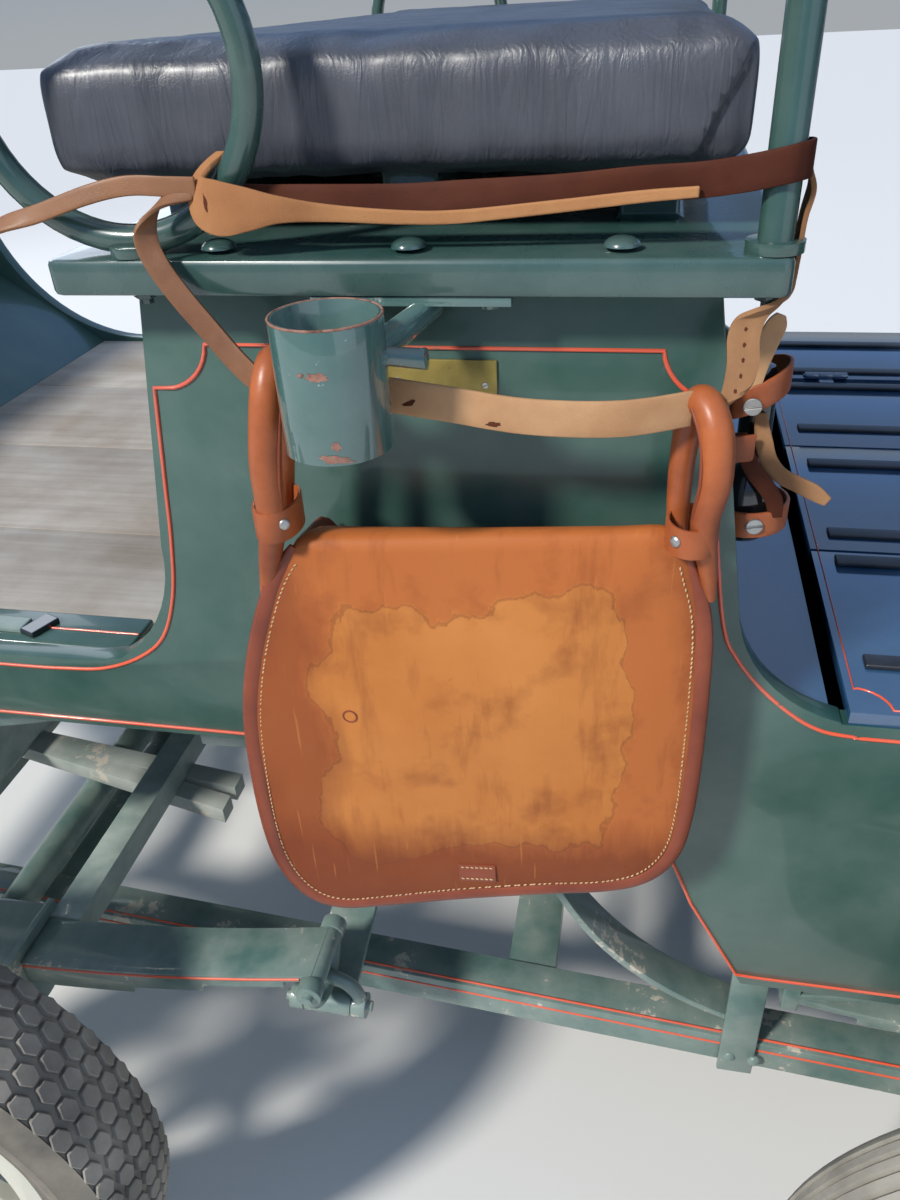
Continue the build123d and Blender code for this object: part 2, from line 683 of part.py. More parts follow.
def rear_spring():
    # A flat full elliptic between the axle and the boot.
    y = -perch_y(REAR_AXLE_X)
    pieces = []
    for index, half in enumerate((300, 230, 160)):
        low = leaf_arc((REAR_AXLE_X, 399 + 1550), 1550 + index * LEAF, half, LEAF,
                       lambda x, z: Vector(x, y - 22, z))
        high = leaf_arc((REAR_AXLE_X, 452 - 1550), -(1550 + index * LEAF), half, LEAF,
                        lambda x, z: Vector(x, y - 22, z))
        pieces.append(Solid.extrude(low, Vector(0, 44, 0)))
        pieces.append(Solid.extrude(high, Vector(0, 44, 0)))
    for side in (-1, 1):
        x = REAR_AXLE_X + side * 302
        pieces.append(block((x - 9, x + 9), (y - 22, y + 22), (406, 445)))
    return fused(pieces)


CUP = (1004, -631)
CUP_R = 37.5
CUP_TOP = 1205
CUP_LOW = 1112


def cup_holder():
    # A can on a slanting arm under a flat bar, with a clamp stub at its side, open at the top.
    x, y = CUP
    can = Solid.make_cylinder(CUP_R, CUP_TOP - CUP_LOW, Plane((x, y, CUP_LOW)))
    bar = block((969, 1106), (-PLANK_HALF + 3, -PLANK_HALF + 30), (PLANK_BOTTOM - 6, PLANK_BOTTOM))
    arm = rod((1049, -541, PLANK_BOTTOM - 10), (1024, -608, 1172), 9)
    stub = rod((1025, -606, 1168), (1059, -606, 1170), 7)
    heads = [rod((sx, -543, PLANK_BOTTOM - 10), (sx, -543, PLANK_BOTTOM - 3), 7) for sx in (986, 1090)]
    return fused([can, bar, arm, stub] + heads) - Solid.make_cylinder(CUP_R - 3, CUP_TOP, Plane((x, y, CUP_LOW + 4)))


BAG_X = (882, 1258)
BAG_Z = (634, 1049)
BAG_FRONT = (-618, -582)
HANDLE_R = 12


def tool_bag():
    # A leather satchel with rounded lower corners; its flap stands further out on the left.
    x0, x1 = BAG_X
    z0, z1 = BAG_Z
    deep, shallow = BAG_FRONT
    steps = [(x0 + 71, z1 - 2), ((x0 + 28, z1 - 90), (x0 + 4, z1 - 185)), (x0 + 2, z0 + 86)]
    steps += [((x0 + 14, z0 + 20), (x0 + 58, z0)), (x1 - 118, z0 + 32), ((x1 - 29, z0 + 56), (x1 - 2, z0 + 136))]
    steps += [((x1 + 2, z1 - 150), (x1 - 14, z1 - 39)), (x1 - 30, z1 - 3)]
    body = board_xz(steps, deep, -BODY_HALF)
    cheek = board_xy([(x0 - 9, deep - 1), (x1 + 9, deep - 1), (x1 + 9, shallow), (x0 - 9, deep)], z0 - 5, z1 + 5)
    left = round_bar([(930, deep + 16, 1012), (941, -600, 1056), (945, -602, 1110), (956, -590, 1154),
                      (961, -570, 1120), (957, -563, 1060), (946, -560, 1015)], HANDLE_R)
    right = round_bar([(1245, -566, 1004), (1240, -584, 1055), (1245, -588, 1104), (1233, -574, 1142),
                       (1224, -560, 1105), (1224, -556, 1050), (1227, -552, 1010)], HANDLE_R)
    return fused([body - cheek, left, right])


RING_FACE = -RAIL_Y - POST_R - 3.2
PLANK_FACE = -PLANK_HALF - 3.2


def leather_straps():
    # The suede band through the handles, a long strap across the arm's ring and two that hold the bag.
    suede = flat_band([(1046, 1122), (1120, 1118), (1215, 1128)], 24, 3.6, -598)
    long_strap = flat_band([(715, 1226), (757, 1244.5), (803, 1259), (850, 1265), (920, 1259), (1030, 1251),
                            (1137, 1252), (1220, 1258), (1268, 1268)], 13, 3, RING_FACE)
    hanging = flat_band([(862, 1262), (853, 1238), (864, 1215), (887, 1186), (921, 1152), (934, 1144)], 15, 3,
                        PLANK_FACE)
    post = flat_band([(1272, 1272), (1284, 1240), (1287, 1215), (1272, 1183), (1258, 1155), (1250, 1138)], 18, 3,
                     PLANK_FACE)
    ties = [block((low, low + 12), (PLANK_FACE + 3, RING_FACE), (1256, 1264)) for low in (858, 1272)]
    return several([suede, long_strap, fused([hanging, ties[0]]), fused([post, ties[1]])])


BOTTLE = (1272, -474)
BOTTLE_R = 21
BOTTLE_NECK_R = 13
BOTTLE_LOW = 985


def holder_bottle():
    # A black flask in two leather loops that are screwed behind the driver's seat box.
    x, y = BOTTLE
    shape = Solid.make_cylinder(BOTTLE_R, 58, Plane((x, y, BOTTLE_LOW)))
    shape = shape.fillet(9, shape.edges())
    neck = Solid.make_cylinder(BOTTLE_NECK_R, 105, Plane((x, y, BOTTLE_LOW + 50)))
    loops = []
    for z, radius, lean in ((996, BOTTLE_R, 0), (1092, BOTTLE_NECK_R, 8)):
        loops.append(leather_loop(x, y, z, radius, lean))
    return fused([shape, neck] + loops)


def leather_loop(x, y, z, radius, lean):
    # A band round the flask with a tongue to the seat box's rear board.
    band = Solid.make_cylinder(radius + 3, 22, Plane((x, y, z)))
    tongue = block((BOX_REAR, x), (y - radius - 3, y - radius), (z, z + 22))
    return fused([band, tongue, block((BOX_REAR, x), (y - 8, y + 8), (z + lean, z + 22 - lean))])


def maker_plate():
    return block((1008, 1090), (-BODY_HALF - 2, -BODY_HALF), (1110, 1141))


panel = side_panel()
save("side_panel_left", panel)
save("side_panel_right", mirrored(panel))
save("front_floor", front_floor())
save("front_sills", front_sills())
save("dash", dash())
save("driver_box_walls", several([box_front(0, FLOOR_TOP), driver_box_rear()]))
save("rear_box_front", box_front(REAR_SEAT_STEP, DECK_TOP))
for prefix, offset in (("driver", 0), ("rear", REAR_SEAT_STEP)):
    save(prefix + "_plank", plank(offset))
    save(prefix + "_cushion", cushion(offset))
    save(prefix + "_seat_rails", seat_rails(offset))
    save(prefix + "_back_pad", back_pad(offset))
save("boot_shell", boot_shell())
save("deck_boards", deck_boards())
save("deck_strips", several([strip(315), strip(445)]))
save("deck_lid", deck_lid())
save("deck_lid_strips", several([strip(y) for y in (-447, -269, -209, -26, 87, 248)]))
save("perches", perches())
save("perch_irons", perch_irons())
save("upper_ring", upper_ring())
save("rear_axle", rear_axle())
save("rear_springs", both_sides(rear_spring()))
save("cup_holder", cup_holder())
save("tool_bag", tool_bag())
save("leather_straps", leather_straps())
save("holder_bottle", holder_bottle())
save("maker_plate", maker_plate())
save("front_axle", front_axle())
save("front_side_springs", both_sides(side_spring()))
save("front_cross_springs", several([cross_spring(KINGPIN_X + s * CROSS_SPRING_X) for s in (-1, 1)]))
save("front_shackles", front_shackles())
save("gear_frame", gear_frame())
save("draught_frame", draught_frame())
save("pole", pole())
save("swingletree_left", swingletree_left())
save("swingletree_right", mirrored(swingletree_left()))
for corner, x, side in (("front_left", KINGPIN_X, -1), ("front_right", KINGPIN_X, 1),
                        ("rear_left", REAR_AXLE_X, -1), ("rear_right", REAR_AXLE_X, 1)):
    save("tyre_" + corner, tyre(x, side))
    save("wheel_" + corner, wheel(x, side))
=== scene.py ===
import json
import math
import random

import bmesh
import bpy
from mathutils import Matrix, Vector, noise

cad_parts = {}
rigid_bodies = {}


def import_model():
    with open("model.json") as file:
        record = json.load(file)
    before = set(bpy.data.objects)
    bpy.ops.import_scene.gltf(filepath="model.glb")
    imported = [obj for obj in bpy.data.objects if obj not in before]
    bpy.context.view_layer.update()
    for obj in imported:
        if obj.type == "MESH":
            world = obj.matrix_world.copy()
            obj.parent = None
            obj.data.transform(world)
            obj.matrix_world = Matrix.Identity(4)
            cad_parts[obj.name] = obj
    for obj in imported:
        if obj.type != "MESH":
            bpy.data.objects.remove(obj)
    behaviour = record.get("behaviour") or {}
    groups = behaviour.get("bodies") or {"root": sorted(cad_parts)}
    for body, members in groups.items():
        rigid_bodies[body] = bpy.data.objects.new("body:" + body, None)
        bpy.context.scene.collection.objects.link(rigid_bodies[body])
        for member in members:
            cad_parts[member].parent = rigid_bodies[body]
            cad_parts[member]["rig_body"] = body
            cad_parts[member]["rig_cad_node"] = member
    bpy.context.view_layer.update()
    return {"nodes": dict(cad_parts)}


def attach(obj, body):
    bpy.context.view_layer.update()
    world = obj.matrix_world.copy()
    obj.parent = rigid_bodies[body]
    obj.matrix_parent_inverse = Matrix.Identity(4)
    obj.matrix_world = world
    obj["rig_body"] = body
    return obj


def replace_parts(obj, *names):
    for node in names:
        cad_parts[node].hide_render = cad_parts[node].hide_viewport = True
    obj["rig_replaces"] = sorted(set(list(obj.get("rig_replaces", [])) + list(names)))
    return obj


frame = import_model()
nodes = frame["nodes"]
print("carriage loaded,", len(nodes), "pieces")


# camera where the photographer stood, looking down at the driver's seat
cameraLook = {"place": (1.195, -1.176, 1.363), "tilt": 32.56, "turn": -12.83, "roll": -3.27, "lens": 28.434}


def setCamera(look):
    tilt, turn, roll = (math.radians(look[k]) for k in ("tilt", "turn", "roll"))
    ahead = Vector((math.sin(turn) * math.cos(tilt), math.cos(turn) * math.cos(tilt), -math.sin(tilt)))
    level = Vector((math.cos(turn), -math.sin(turn), 0))
    upright = level.cross(ahead)
    right = math.cos(roll) * level + math.sin(roll) * upright
    up = -math.sin(roll) * level + math.cos(roll) * upright
    bpy.ops.object.camera_add()
    camera = bpy.context.object
    turnMatrix = Matrix((right, up, -ahead)).transposed().to_4x4()
    camera.matrix_world = Matrix.Translation(look["place"]) @ turnMatrix
    camera.data.sensor_fit = "VERTICAL"
    camera.data.sensor_height = 36
    camera.data.lens = look["lens"]
    bpy.context.scene.camera = camera


def clearSelection():
    if bpy.context.object and bpy.context.object.mode != "OBJECT":
        bpy.ops.object.mode_set(mode="OBJECT")
    bpy.ops.object.select_all(action="DESELECT")


def pick(*pieces):
    clearSelection()
    for piece in pieces:
        piece.select_set(True)
    bpy.context.view_layer.objects.active = pieces[0]


# soft daylight in a studio: an even key over the near left, one fill, a pale surround
lightLook = {
    "key": {"place": (-4.0, -6.3, 7.4), "aim": (1.1, 0, 0.8), "spread": 8, "power": 4.1,
            "colour": (1, 0.965, 0.91)},
    "fill": {"place": (4.6, -3.2, 2.8), "aim": (1.3, 0, 0.8), "size": 4, "power": 26,
             "colour": (0.86, 0.93, 1)},
    "back": {"place": (-3.4, 4.2, 3.4), "aim": (0.8, 0, 0.8), "size": 3, "power": 60,
             "colour": (0.9, 0.95, 1)},
    "surround": ((0.0, (0.6, 0.6, 0.6)), (0.49, (0.62, 0.66, 0.7)), (0.56, (0.4, 0.52, 0.68)),
                 (0.64, (0.28, 0.5, 0.98)),
                 (0.8, (0.42, 0.64, 1.05)), (1.0, (0.7, 0.84, 1.1))),
    "surroundPower": 0.6,
    "floor": (0.66, 0.65, 0.62),
}


def setLights(look):
    for name in ("key", "fill", "back"):
        spec = look[name]
        bpy.ops.object.light_add(type="SUN" if "spread" in spec else "AREA", location=spec["place"])
        lamp = bpy.context.object
        lamp.name = name + "Lamp"
        lamp.rotation_euler = (Vector(spec["aim"]) - Vector(spec["place"])).to_track_quat("-Z",
                                                                                          "Y").to_euler()
        if "spread" in spec:
            lamp.data.angle = math.radians(spec["spread"])
        else:
            lamp.data.size = spec["size"]
        lamp.data.energy = spec["power"]
        lamp.data.color = spec["colour"]
    world = bpy.data.worlds.new("studio")
    bpy.context.scene.world = world
    world.use_nodes = True
    tree = world.node_tree
    shade = tree.nodes["Background"]
    shade.inputs["Strength"].default_value = look["surroundPower"]
    split = tree.nodes.new("ShaderNodeSeparateXYZ")
    level = tree.nodes.new("ShaderNodeMath")
    level.operation = "MULTIPLY_ADD"
    level.inputs[1].default_value = 0.5
    level.inputs[2].default_value = 0.5
    ramp = tree.nodes.new("ShaderNodeValToRGB")
    stops = ramp.color_ramp.elements
    for where, colour in look["surround"][1:-1]:
        stops.new(where).color = (*colour, 1)
    stops[0].color = (*look["surround"][0][1], 1)
    stops[-1].color = (*look["surround"][-1][1], 1)
    tree.links.new(tree.nodes.new("ShaderNodeTexCoord").outputs["Generated"], split.inputs[0])
    tree.links.new(split.outputs["Z"], level.inputs[0])
    tree.links.new(level.outputs[0], ramp.inputs[0])
    tree.links.new(ramp.outputs[0], shade.inputs["Color"])


# shader building: a value is a number, a colour or the socket that it comes from
def feed(tree, socket, value):
    if isinstance(value, bpy.types.NodeSocket):
        tree.links.new(value, socket)
    elif socket.type == "RGBA":
        socket.default_value = (*value, 1)
    else:
        socket.default_value = value


def addNode(tree, kind, **values):
    item = tree.nodes.new(kind)
    for key, value in values.items():
        if key in item.inputs.keys():
            feed(tree, item.inputs[key], value)
        else:
            setattr(item, key, value)
    return item


def addNoise(tree, place, scale, detail, **values):
    item = addNode(tree, "ShaderNodeTexNoise", Vector=place, Scale=scale, Detail=detail, **values)
    return item.outputs[0]


def work(tree, operation, *terms, clamp=False):
    item = addNode(tree, "ShaderNodeMath", operation=operation, use_clamp=clamp)
    for socket, term in zip(item.inputs, terms):
        feed(tree, socket, term)
    return item.outputs[0]


def spread(tree, source, low, high, bottom=0, top=1):
    # from low to high in the source becomes bottom to top
    item = addNode(tree, "ShaderNodeMapRange")
    for label, value in (("Value", source), ("From Min", low), ("From Max", high), ("To Min", bottom),
                         ("To Max", top)):
        feed(tree, item.inputs[label], value)
    return item.outputs[0]


def mixColour(tree, first, second, factor, blend="MIX"):
    mix = addNode(tree, "ShaderNodeMix", data_type="RGBA", blend_type=blend)
    for index, value in ((0, factor), (6, first), (7, second)):
        feed(tree, mix.inputs[index], value)
    return mix.outputs[2]


def newGroup(name, inputs, output):
    # an input without a value is a vector
    tree = bpy.data.node_groups.new(name, "ShaderNodeTree")
    for label, value in inputs.items():
        kind = "NodeSocketVector" if value is None else "NodeSocketFloat"
        socket = tree.interface.new_socket(label, in_out="INPUT", socket_type=kind)
        if value is not None:
            socket.default_value = value
    tree.interface.new_socket(output, in_out="OUTPUT", socket_type="NodeSocketFloat")
    given = tree.nodes.new("NodeGroupInput").outputs
    return tree, given, tree.nodes.new("NodeGroupOutput").inputs[output]


def makeChipGroup():
    # scattered chips and scuffs: a coarse cloud decides where, a fine one gives the ragged shapes
    tree, given, out = newGroup("chips", {"Vector": None, "Scale": 8, "Amount": 0.2}, "Mask")
    coarse = addNoise(tree, given["Vector"], given["Scale"], 3)
    fine = addNoise(tree, given["Vector"], work(tree, "MULTIPLY", given["Scale"], 7), 9, Roughness=0.7)
    both = work(tree, "MULTIPLY_ADD", coarse, 0.55, work(tree, "MULTIPLY", fine, 0.45))
    level = work(tree, "SUBTRACT", 0.72, work(tree, "MULTIPLY", given["Amount"], 0.3))
    feed(tree, out, work(tree, "MULTIPLY", work(tree, "SUBTRACT", both, level), 40, clamp=True))
    return tree


def makeCloudGroup():
    # slow changes of tone, from Low to High
    tree, given, out = newGroup("cloud", {"Vector": None, "Scale": 4, "Low": 0, "High": 1}, "Value")
    slow = addNoise(tree, given["Vector"], given["Scale"], 6, Roughness=0.6)
    feed(tree, out, spread(tree, slow, 0.32, 0.68, given["Low"], given["High"]))
    return tree


def makeGrainGroup():
    # leather grain: small cells broken by creases
    tree, given, out = newGroup("grain", {"Vector": None, "Scale": 400, "Crease": 0.5}, "Height")
    cells = addNode(tree, "ShaderNodeTexVoronoi", feature="DISTANCE_TO_EDGE", Vector=given["Vector"],
                    Scale=given["Scale"])
    ridge = work(tree, "PINGPONG", addNoise(tree, given["Vector"], 30, 5), 0.5)
    flat = work(tree, "MINIMUM", cells.outputs["Distance"], 0.12)
    feed(tree, out, work(tree, "MULTIPLY_ADD", ridge, given["Crease"], flat))
    return tree


chipGroup = makeChipGroup()
cloudGroup = makeCloudGroup()
grainGroup = makeGrainGroup()


def useGroup(tree, group, place, **values):
    return addNode(tree, "ShaderNodeGroup", node_tree=group, Vector=place, **values).outputs[0]


def cloud(tree, place, scale, low=0, high=1):
    return useGroup(tree, cloudGroup, place, Scale=scale, Low=low, High=high)


def chipped(tree, place, scale, amount):
    return useGroup(tree, chipGroup, place, Scale=scale, Amount=amount)


def grained(tree, place, scale, crease):
    return useGroup(tree, grainGroup, place, Scale=scale, Crease=crease)


def stretched(tree, place, scale):
    return addNode(tree, "ShaderNodeMapping", Vector=place, Scale=scale).outputs["Vector"]


def startMaterial(name):
    material = bpy.data.materials.new(name)
    material.use_nodes = True
    tree = material.node_tree
    place = addNode(tree, "ShaderNodeTexCoord").outputs["Object"]
    return material, tree, tree.nodes["Principled BSDF"].inputs, place


def setShader(tree, shader, values):
    for label, value in values.items():
        feed(tree, shader[label], value)


def addBump(tree, shader, height, strength, distance):
    bump = addNode(tree, "ShaderNodeBump", Height=height, Strength=strength, Distance=distance)
    feed(tree, shader["Normal"], bump.outputs["Normal"])


def coachPaint(name, look):
    material, tree, shader, place = startMaterial(name)
    chips = chipped(tree, place, look["chipScale"], look["chips"])
    dust = cloud(tree, place, 14, 0, look["dust"])
    colour = mixColour(tree, look["colour"], look["shade"], cloud(tree, place, 3))
    colour = mixColour(tree, colour, look["dustColour"], dust)
    colour = mixColour(tree, colour, look["chipColour"], chips)
    rough = work(tree, "MULTIPLY_ADD", work(tree, "MAXIMUM", dust, chips), 0.5, look["rough"])
    setShader(tree, shader, {"Base Color": colour, "Roughness": rough, "Coat Weight": look["coat"],
                             "Coat Roughness": 0.06, "Coat IOR": look.get("coatIor", 1.5)})
    ripple = addNoise(tree, stretched(tree, place, look.get("brush", (0.35, 1, 1))), 60, 2)
    addBump(tree, shader, work(tree, "SUBTRACT", ripple, chips), look.get("bump", 0.12), 0.0008)
    return material


def wornWood(name, look):
    material, tree, shader, place = startMaterial(name)
    grain = addNoise(tree, stretched(tree, place, look["along"]), 40, 8, Roughness=0.65)
    colour = mixColour(tree, look["colour"], look["dark"], grain)
    colour = mixColour(tree, colour, look["stain"], cloud(tree, place, 6), "MULTIPLY")
    setShader(tree, shader, {"Base Color": colour, "Roughness": 0.8})
    addBump(tree, shader, grain, 0.5, 0.0015)
    return material


def seatLeather(name, look):
    material, tree, shader, place = startMaterial(name)
    height = grained(tree, place, look["grain"], look["crease"])
    setShader(tree, shader, {"Base Color": mixColour(tree, look["colour"], look["worn"],
                                                     cloud(tree, place, 9)),
                             "Roughness": cloud(tree, place, 25, look["rough"] - 0.06, look["rough"] + 0.1),
                             "Coat Weight": look["coat"], "Coat Roughness": 0.3,
                             "Specular IOR Level": look.get("sheen", 0.25)})
    if "wrinkle" in look:
        # fine wrinkles that run up and down the sides
        upward = stretched(tree, place, (1, 1, 0.13))
        wrinkle = addNoise(tree, upward, look["wrinkle"], 3, Roughness=0.55, Distortion=0.4)
        height = work(tree, "MULTIPLY_ADD", work(tree, "PINGPONG", wrinkle, 0.09), look["wrinkleDepth"],
                      height)
    addBump(tree, shader, height, look["bump"], 0.001)
    return material


def bagLeather(name, look):
    # cognac hide: dark towards the edge attribute, the left and the bottom
    # with tide marks of water, drips, smudges and scratches
    material, tree, shader, place = startMaterial(name)
    edge = addNode(tree, "ShaderNodeAttribute", attribute_name="edge").outputs["Fac"]
    spot = addNode(tree, "ShaderNodeSeparateXYZ")
    feed(tree, spot.inputs[0], place)
    drip = addNoise(tree, stretched(tree, place, (2.6, 1, 0.5)), 16, 7, Roughness=0.62)
    shore = addNoise(tree, place, 13, 5, Roughness=0.5)
    scratch = addNoise(tree, stretched(tree, place, (2.4, 1, 0.12)), 90, 2)
    tide, low = look["tide"], look["low"]
    wander = work(tree, "MULTIPLY_ADD", shore, 0.5, edge)
    wander = work(tree, "MULTIPLY_ADD", drip, 0.16, wander)
    rim = work(tree, "COMPARE", wander, tide, 0.007)
    depth = work(tree, "MULTIPLY_ADD", drip, 0.09, spot.outputs["Z"])
    leftward = work(tree, "MULTIPLY_ADD", shore, 0.07, spot.outputs["X"])
    leftward = work(tree, "MULTIPLY_ADD", drip, 0.05, leftward)
    smudge = cloud(tree, place, 17, -0.9, 0.7)
    spots = chipped(tree, place, 26, 0.1)
    # each layer: its tone, what it follows, where that starts and ends, and how strong it gets
    layers = [("outer", wander, tide + 0.01, tide - 0.02, 0.8), ("stain", drip, 0.54, 0.72, 0.5),
              ("stain", depth, low, low - 0.05, 0.85), ("stain", leftward, 1.034, 1.004, 0.62),
              ("stain", smudge, 0, 0.9, 0.55), ("dark", rim, 0, 1, 0.3),
              ("stain", wander, tide - 0.2, tide - 0.42, 0.7), ("light", scratch, 0.69, 0.73, 0.3),
              ("dark", spots, 0, 1, 0.5)]
    colour = mixColour(tree, look["colour"], look["light"], cloud(tree, place, 7))
    for tone, source, start, end, strength in layers:
        colour = mixColour(tree, colour, look[tone], spread(tree, source, start, end, 0, strength))
    setShader(tree, shader, {"Base Color": colour, "Roughness": cloud(tree, place, 30, 0.48, 0.64),
                             "Specular IOR Level": 0.25})
    addBump(tree, shader, grained(tree, place, 600, 0.35), 0.25, 0.0006)
    return material


def tyreRubber(name, look):
    material, tree, shader, place = startMaterial(name)
    dust = cloud(tree, place, 12, look["dustLow"], look["dustHigh"])
    setShader(tree, shader, {"Base Color": mixColour(tree, look["colour"], look["dust"], dust),
                             "Roughness": 0.8})
    addBump(tree, shader, addNoise(tree, place, 260, 4), 0.3, 0.0006)
    return material


def bareMetal(name, look):
    material, tree, shader, place = startMaterial(name)
    mottle = cloud(tree, place, look["scale"])
    colour = mixColour(tree, look["colour"], look["shade"], mottle)
    colour = mixColour(tree, colour, look["rustColour"], chipped(tree, place, look["scale"], look["rust"]))
    gloss = cloud(tree, place, look["scale"] * 3, look["rough"], look["rough"] + 0.2)
    setShader(tree, shader, {"Base Color": colour, "Metallic": look["metal"], "Roughness": gloss})
    addBump(tree, shader, mottle, 0.2, 0.0005)
    return material


def makeAll(maker, keys, table, extras={}):
    # one material for each row, with a value for each key
    return {name: maker(name, {**dict(zip(keys, row)), **extras.get(name, {})}) for name,
            row in table.items()}


paintKeys = ("colour", "shade", "chipColour", "dustColour", "chips", "chipScale", "dust", "rough", "coat")
paintLook = {
    "coachGreen": ((0.022, 0.068, 0.052), (0.03, 0.085, 0.066), (0.3, 0.3, 0.24), (0.3, 0.34, 0.31), 0.08,
                   7, 0.12, 0.3, 0.4),
    "plankGreen": ((0.017, 0.05, 0.043), (0.026, 0.074, 0.064), (0.34, 0.33, 0.27), (0.3, 0.34, 0.32), 0.2,
                   14, 0.12, 0.24, 0.8),
    # the can: the plank's green lightened, painted light
    "cupGreenPaintedLight": ((0.03, 0.085, 0.075), (0.05, 0.135, 0.12), (0.3, 0.34, 0.31), (0.26, 0.32, 0.3), 0.3, 30,
                 0.2, 0.2, 1.0),
    "railGreen": ((0.017, 0.05, 0.04), (0.028, 0.078, 0.063), (0.34, 0.3, 0.22), (0.26, 0.3, 0.27), 0.12,
                  22, 0.1, 0.24, 0.8),
    # the deck: dark green paint given a blue base colour, a painted reflection of the sky
    "deckGreenPaintedSky": ((0.012, 0.052, 0.12), (0.018, 0.072, 0.165), (0.35, 0.36, 0.34), (0.3, 0.36, 0.4), 0.03,
                  14, 0.05, 0.14, 1.0),
    # the boot: the coach green darkened, painted shade
    "bootGreenPaintedShade": ((0.01, 0.026, 0.022), (0.015, 0.036, 0.029), (0.33, 0.33, 0.28), (0.3, 0.29, 0.24), 0.12,
                  9, 0.08, 0.22, 0.6),
    "gearGreen": ((0.055, 0.115, 0.1), (0.095, 0.17, 0.15), (0.48, 0.44, 0.35), (0.4, 0.42, 0.37), 0.42, 14,
                  0.42, 0.32, 0.4),
    "frameGreen": ((0.1, 0.16, 0.14), (0.17, 0.24, 0.21), (0.5, 0.5, 0.43), (0.46, 0.49, 0.44), 0.35, 12,
                   0.6, 0.36, 0.3),
    "wornBeam": ((0.22, 0.27, 0.245), (0.34, 0.37, 0.33), (0.5, 0.46, 0.38), (0.5, 0.5, 0.45), 0.5, 9, 0.5,
                 0.5, 0.2),
    "greased": ((0.012, 0.02, 0.018), (0.03, 0.06, 0.05), (0.3, 0.27, 0.14), (0.2, 0.2, 0.14), 0.35, 16,
                0.1, 0.22, 0.7),
    "wheelCream": ((0.56, 0.55, 0.44), (0.66, 0.65, 0.55), (0.25, 0.2, 0.13), (0.42, 0.38, 0.3), 0.12, 12,
                   0.35, 0.35, 0.4),
    "coachLine": ((0.72, 0.085, 0.022), (0.62, 0.075, 0.03), (0.1, 0.14, 0.11), (0.5, 0.35, 0.28), 0.25, 14,
                  0.15, 0.3, 0.6),
    "blackGloss": ((0.006, 0.007, 0.008), (0.012, 0.013, 0.015), (0.1, 0.1, 0.1), (0.2, 0.2, 0.2), 0.05, 20,
                   0.05, 0.12, 1.0),
    "ribRubber": ((0.006, 0.008, 0.012), (0.012, 0.014, 0.02), (0.2, 0.22, 0.26), (0.3, 0.34, 0.4), 0.05,
                  20, 0.12, 0.4, 0.2),
}
paintExtra = {
    "cupGreenPaintedLight": {"coatIor": 1.7},
    "deckGreenPaintedSky": {"coatIor": 1.9},
    "wornBeam": {"brush": (0.12, 1, 1), "bump": 0.4},
}
paints = makeAll(coachPaint, paintKeys, paintLook, paintExtra)
hideKeys = ("colour", "worn", "grain", "crease", "rough", "coat", "bump")
hideLook = {
    "blackHide": ((0.028, 0.031, 0.039), (0.06, 0.065, 0.082), 420, 0.6, 0.42, 0.3, 0.4),
    "bindingHide": ((0.13, 0.024, 0.011), (0.24, 0.055, 0.022), 500, 0.6, 0.42, 0.3, 0.35),
    "handleHide": ((0.17, 0.036, 0.012), (0.43, 0.118, 0.034), 300, 0.8, 0.4, 0.3, 0.4),
    "suedeHide": ((0.56, 0.34, 0.18), (0.38, 0.2, 0.095), 900, 1.0, 0.9, 0.0, 0.8),
    "strapHide": ((0.12, 0.045, 0.02), (0.26, 0.12, 0.055), 600, 1.0, 0.5, 0.15, 0.6),
    "suedeBrown": ((0.2, 0.095, 0.042), (0.34, 0.18, 0.085), 800, 1.0, 0.8, 0.0, 0.8),
    "knotHide": ((0.45, 0.22, 0.09), (0.33, 0.14, 0.055), 700, 1.4, 0.85, 0.0, 0.9),
    # dark strap hide, also used for the flakes of painted shade in tears and holes
    "darkStrapAndShade": ((0.05, 0.013, 0.007), (0.1, 0.028, 0.013), 600, 1.0, 0.6, 0.0, 0.5),
    "threadCloth": ((0.42, 0.26, 0.12), (0.6, 0.42, 0.24), 3000, 0.2, 0.85, 0.0, 0.4),
}
hideExtra = {
    "blackHide": {"wrinkle": 62, "wrinkleDepth": 9, "sheen": 0.6},
    "darkStrapAndShade": {"sheen": 0.12},
}
hides = makeAll(seatLeather, hideKeys, hideLook, hideExtra)
rubberKeys = ("colour", "dust", "dustLow", "dustHigh")
rubberLook = {
    "treadRubber": ((0.12, 0.111, 0.095), (0.36, 0.33, 0.275), 0.1, 0.85),
    "ribbedRubber": ((0.13, 0.122, 0.105), (0.42, 0.4, 0.34), 0.3, 0.9),
    "wallRubber": ((0.035, 0.032, 0.027), (0.27, 0.24, 0.19), 0.25, 0.85),
}
rubbers = makeAll(tyreRubber, rubberKeys, rubberLook)
metalKeys = ("colour", "shade", "rustColour", "rust", "scale", "metal", "rough")
metalLook = {
    "brassSheet": ((0.36, 0.28, 0.075), (0.25, 0.19, 0.05), (0.16, 0.11, 0.04), 0.2, 40, 0.55, 0.38),
    "rustedSteel": ((0.36, 0.19, 0.14), (0.2, 0.085, 0.055), (0.09, 0.04, 0.025), 0.5, 160, 0.1, 0.65),
    "steelBright": ((0.5, 0.5, 0.48), (0.36, 0.35, 0.33), (0.25, 0.13, 0.06), 0.25, 60, 0.9, 0.3),
}
metals = makeAll(bareMetal, metalKeys, metalLook)
floorBoards = wornWood("floorBoards", {"colour": (0.5, 0.47, 0.42), "dark": (0.26, 0.23, 0.2),
                                       "stain": (0.62, 0.55, 0.48), "along": (0.06, 1.6, 1)})
bagHide = bagLeather("bagHide", {"colour": (0.42, 0.138, 0.028), "light": (0.52, 0.195, 0.047),
                                 "outer": (0.4, 0.108, 0.026), "stain": (0.17, 0.036, 0.01),
                                 "dark": (0.1, 0.02, 0.007), "tide": 0.66, "low": 0.806})
print("finishes made")

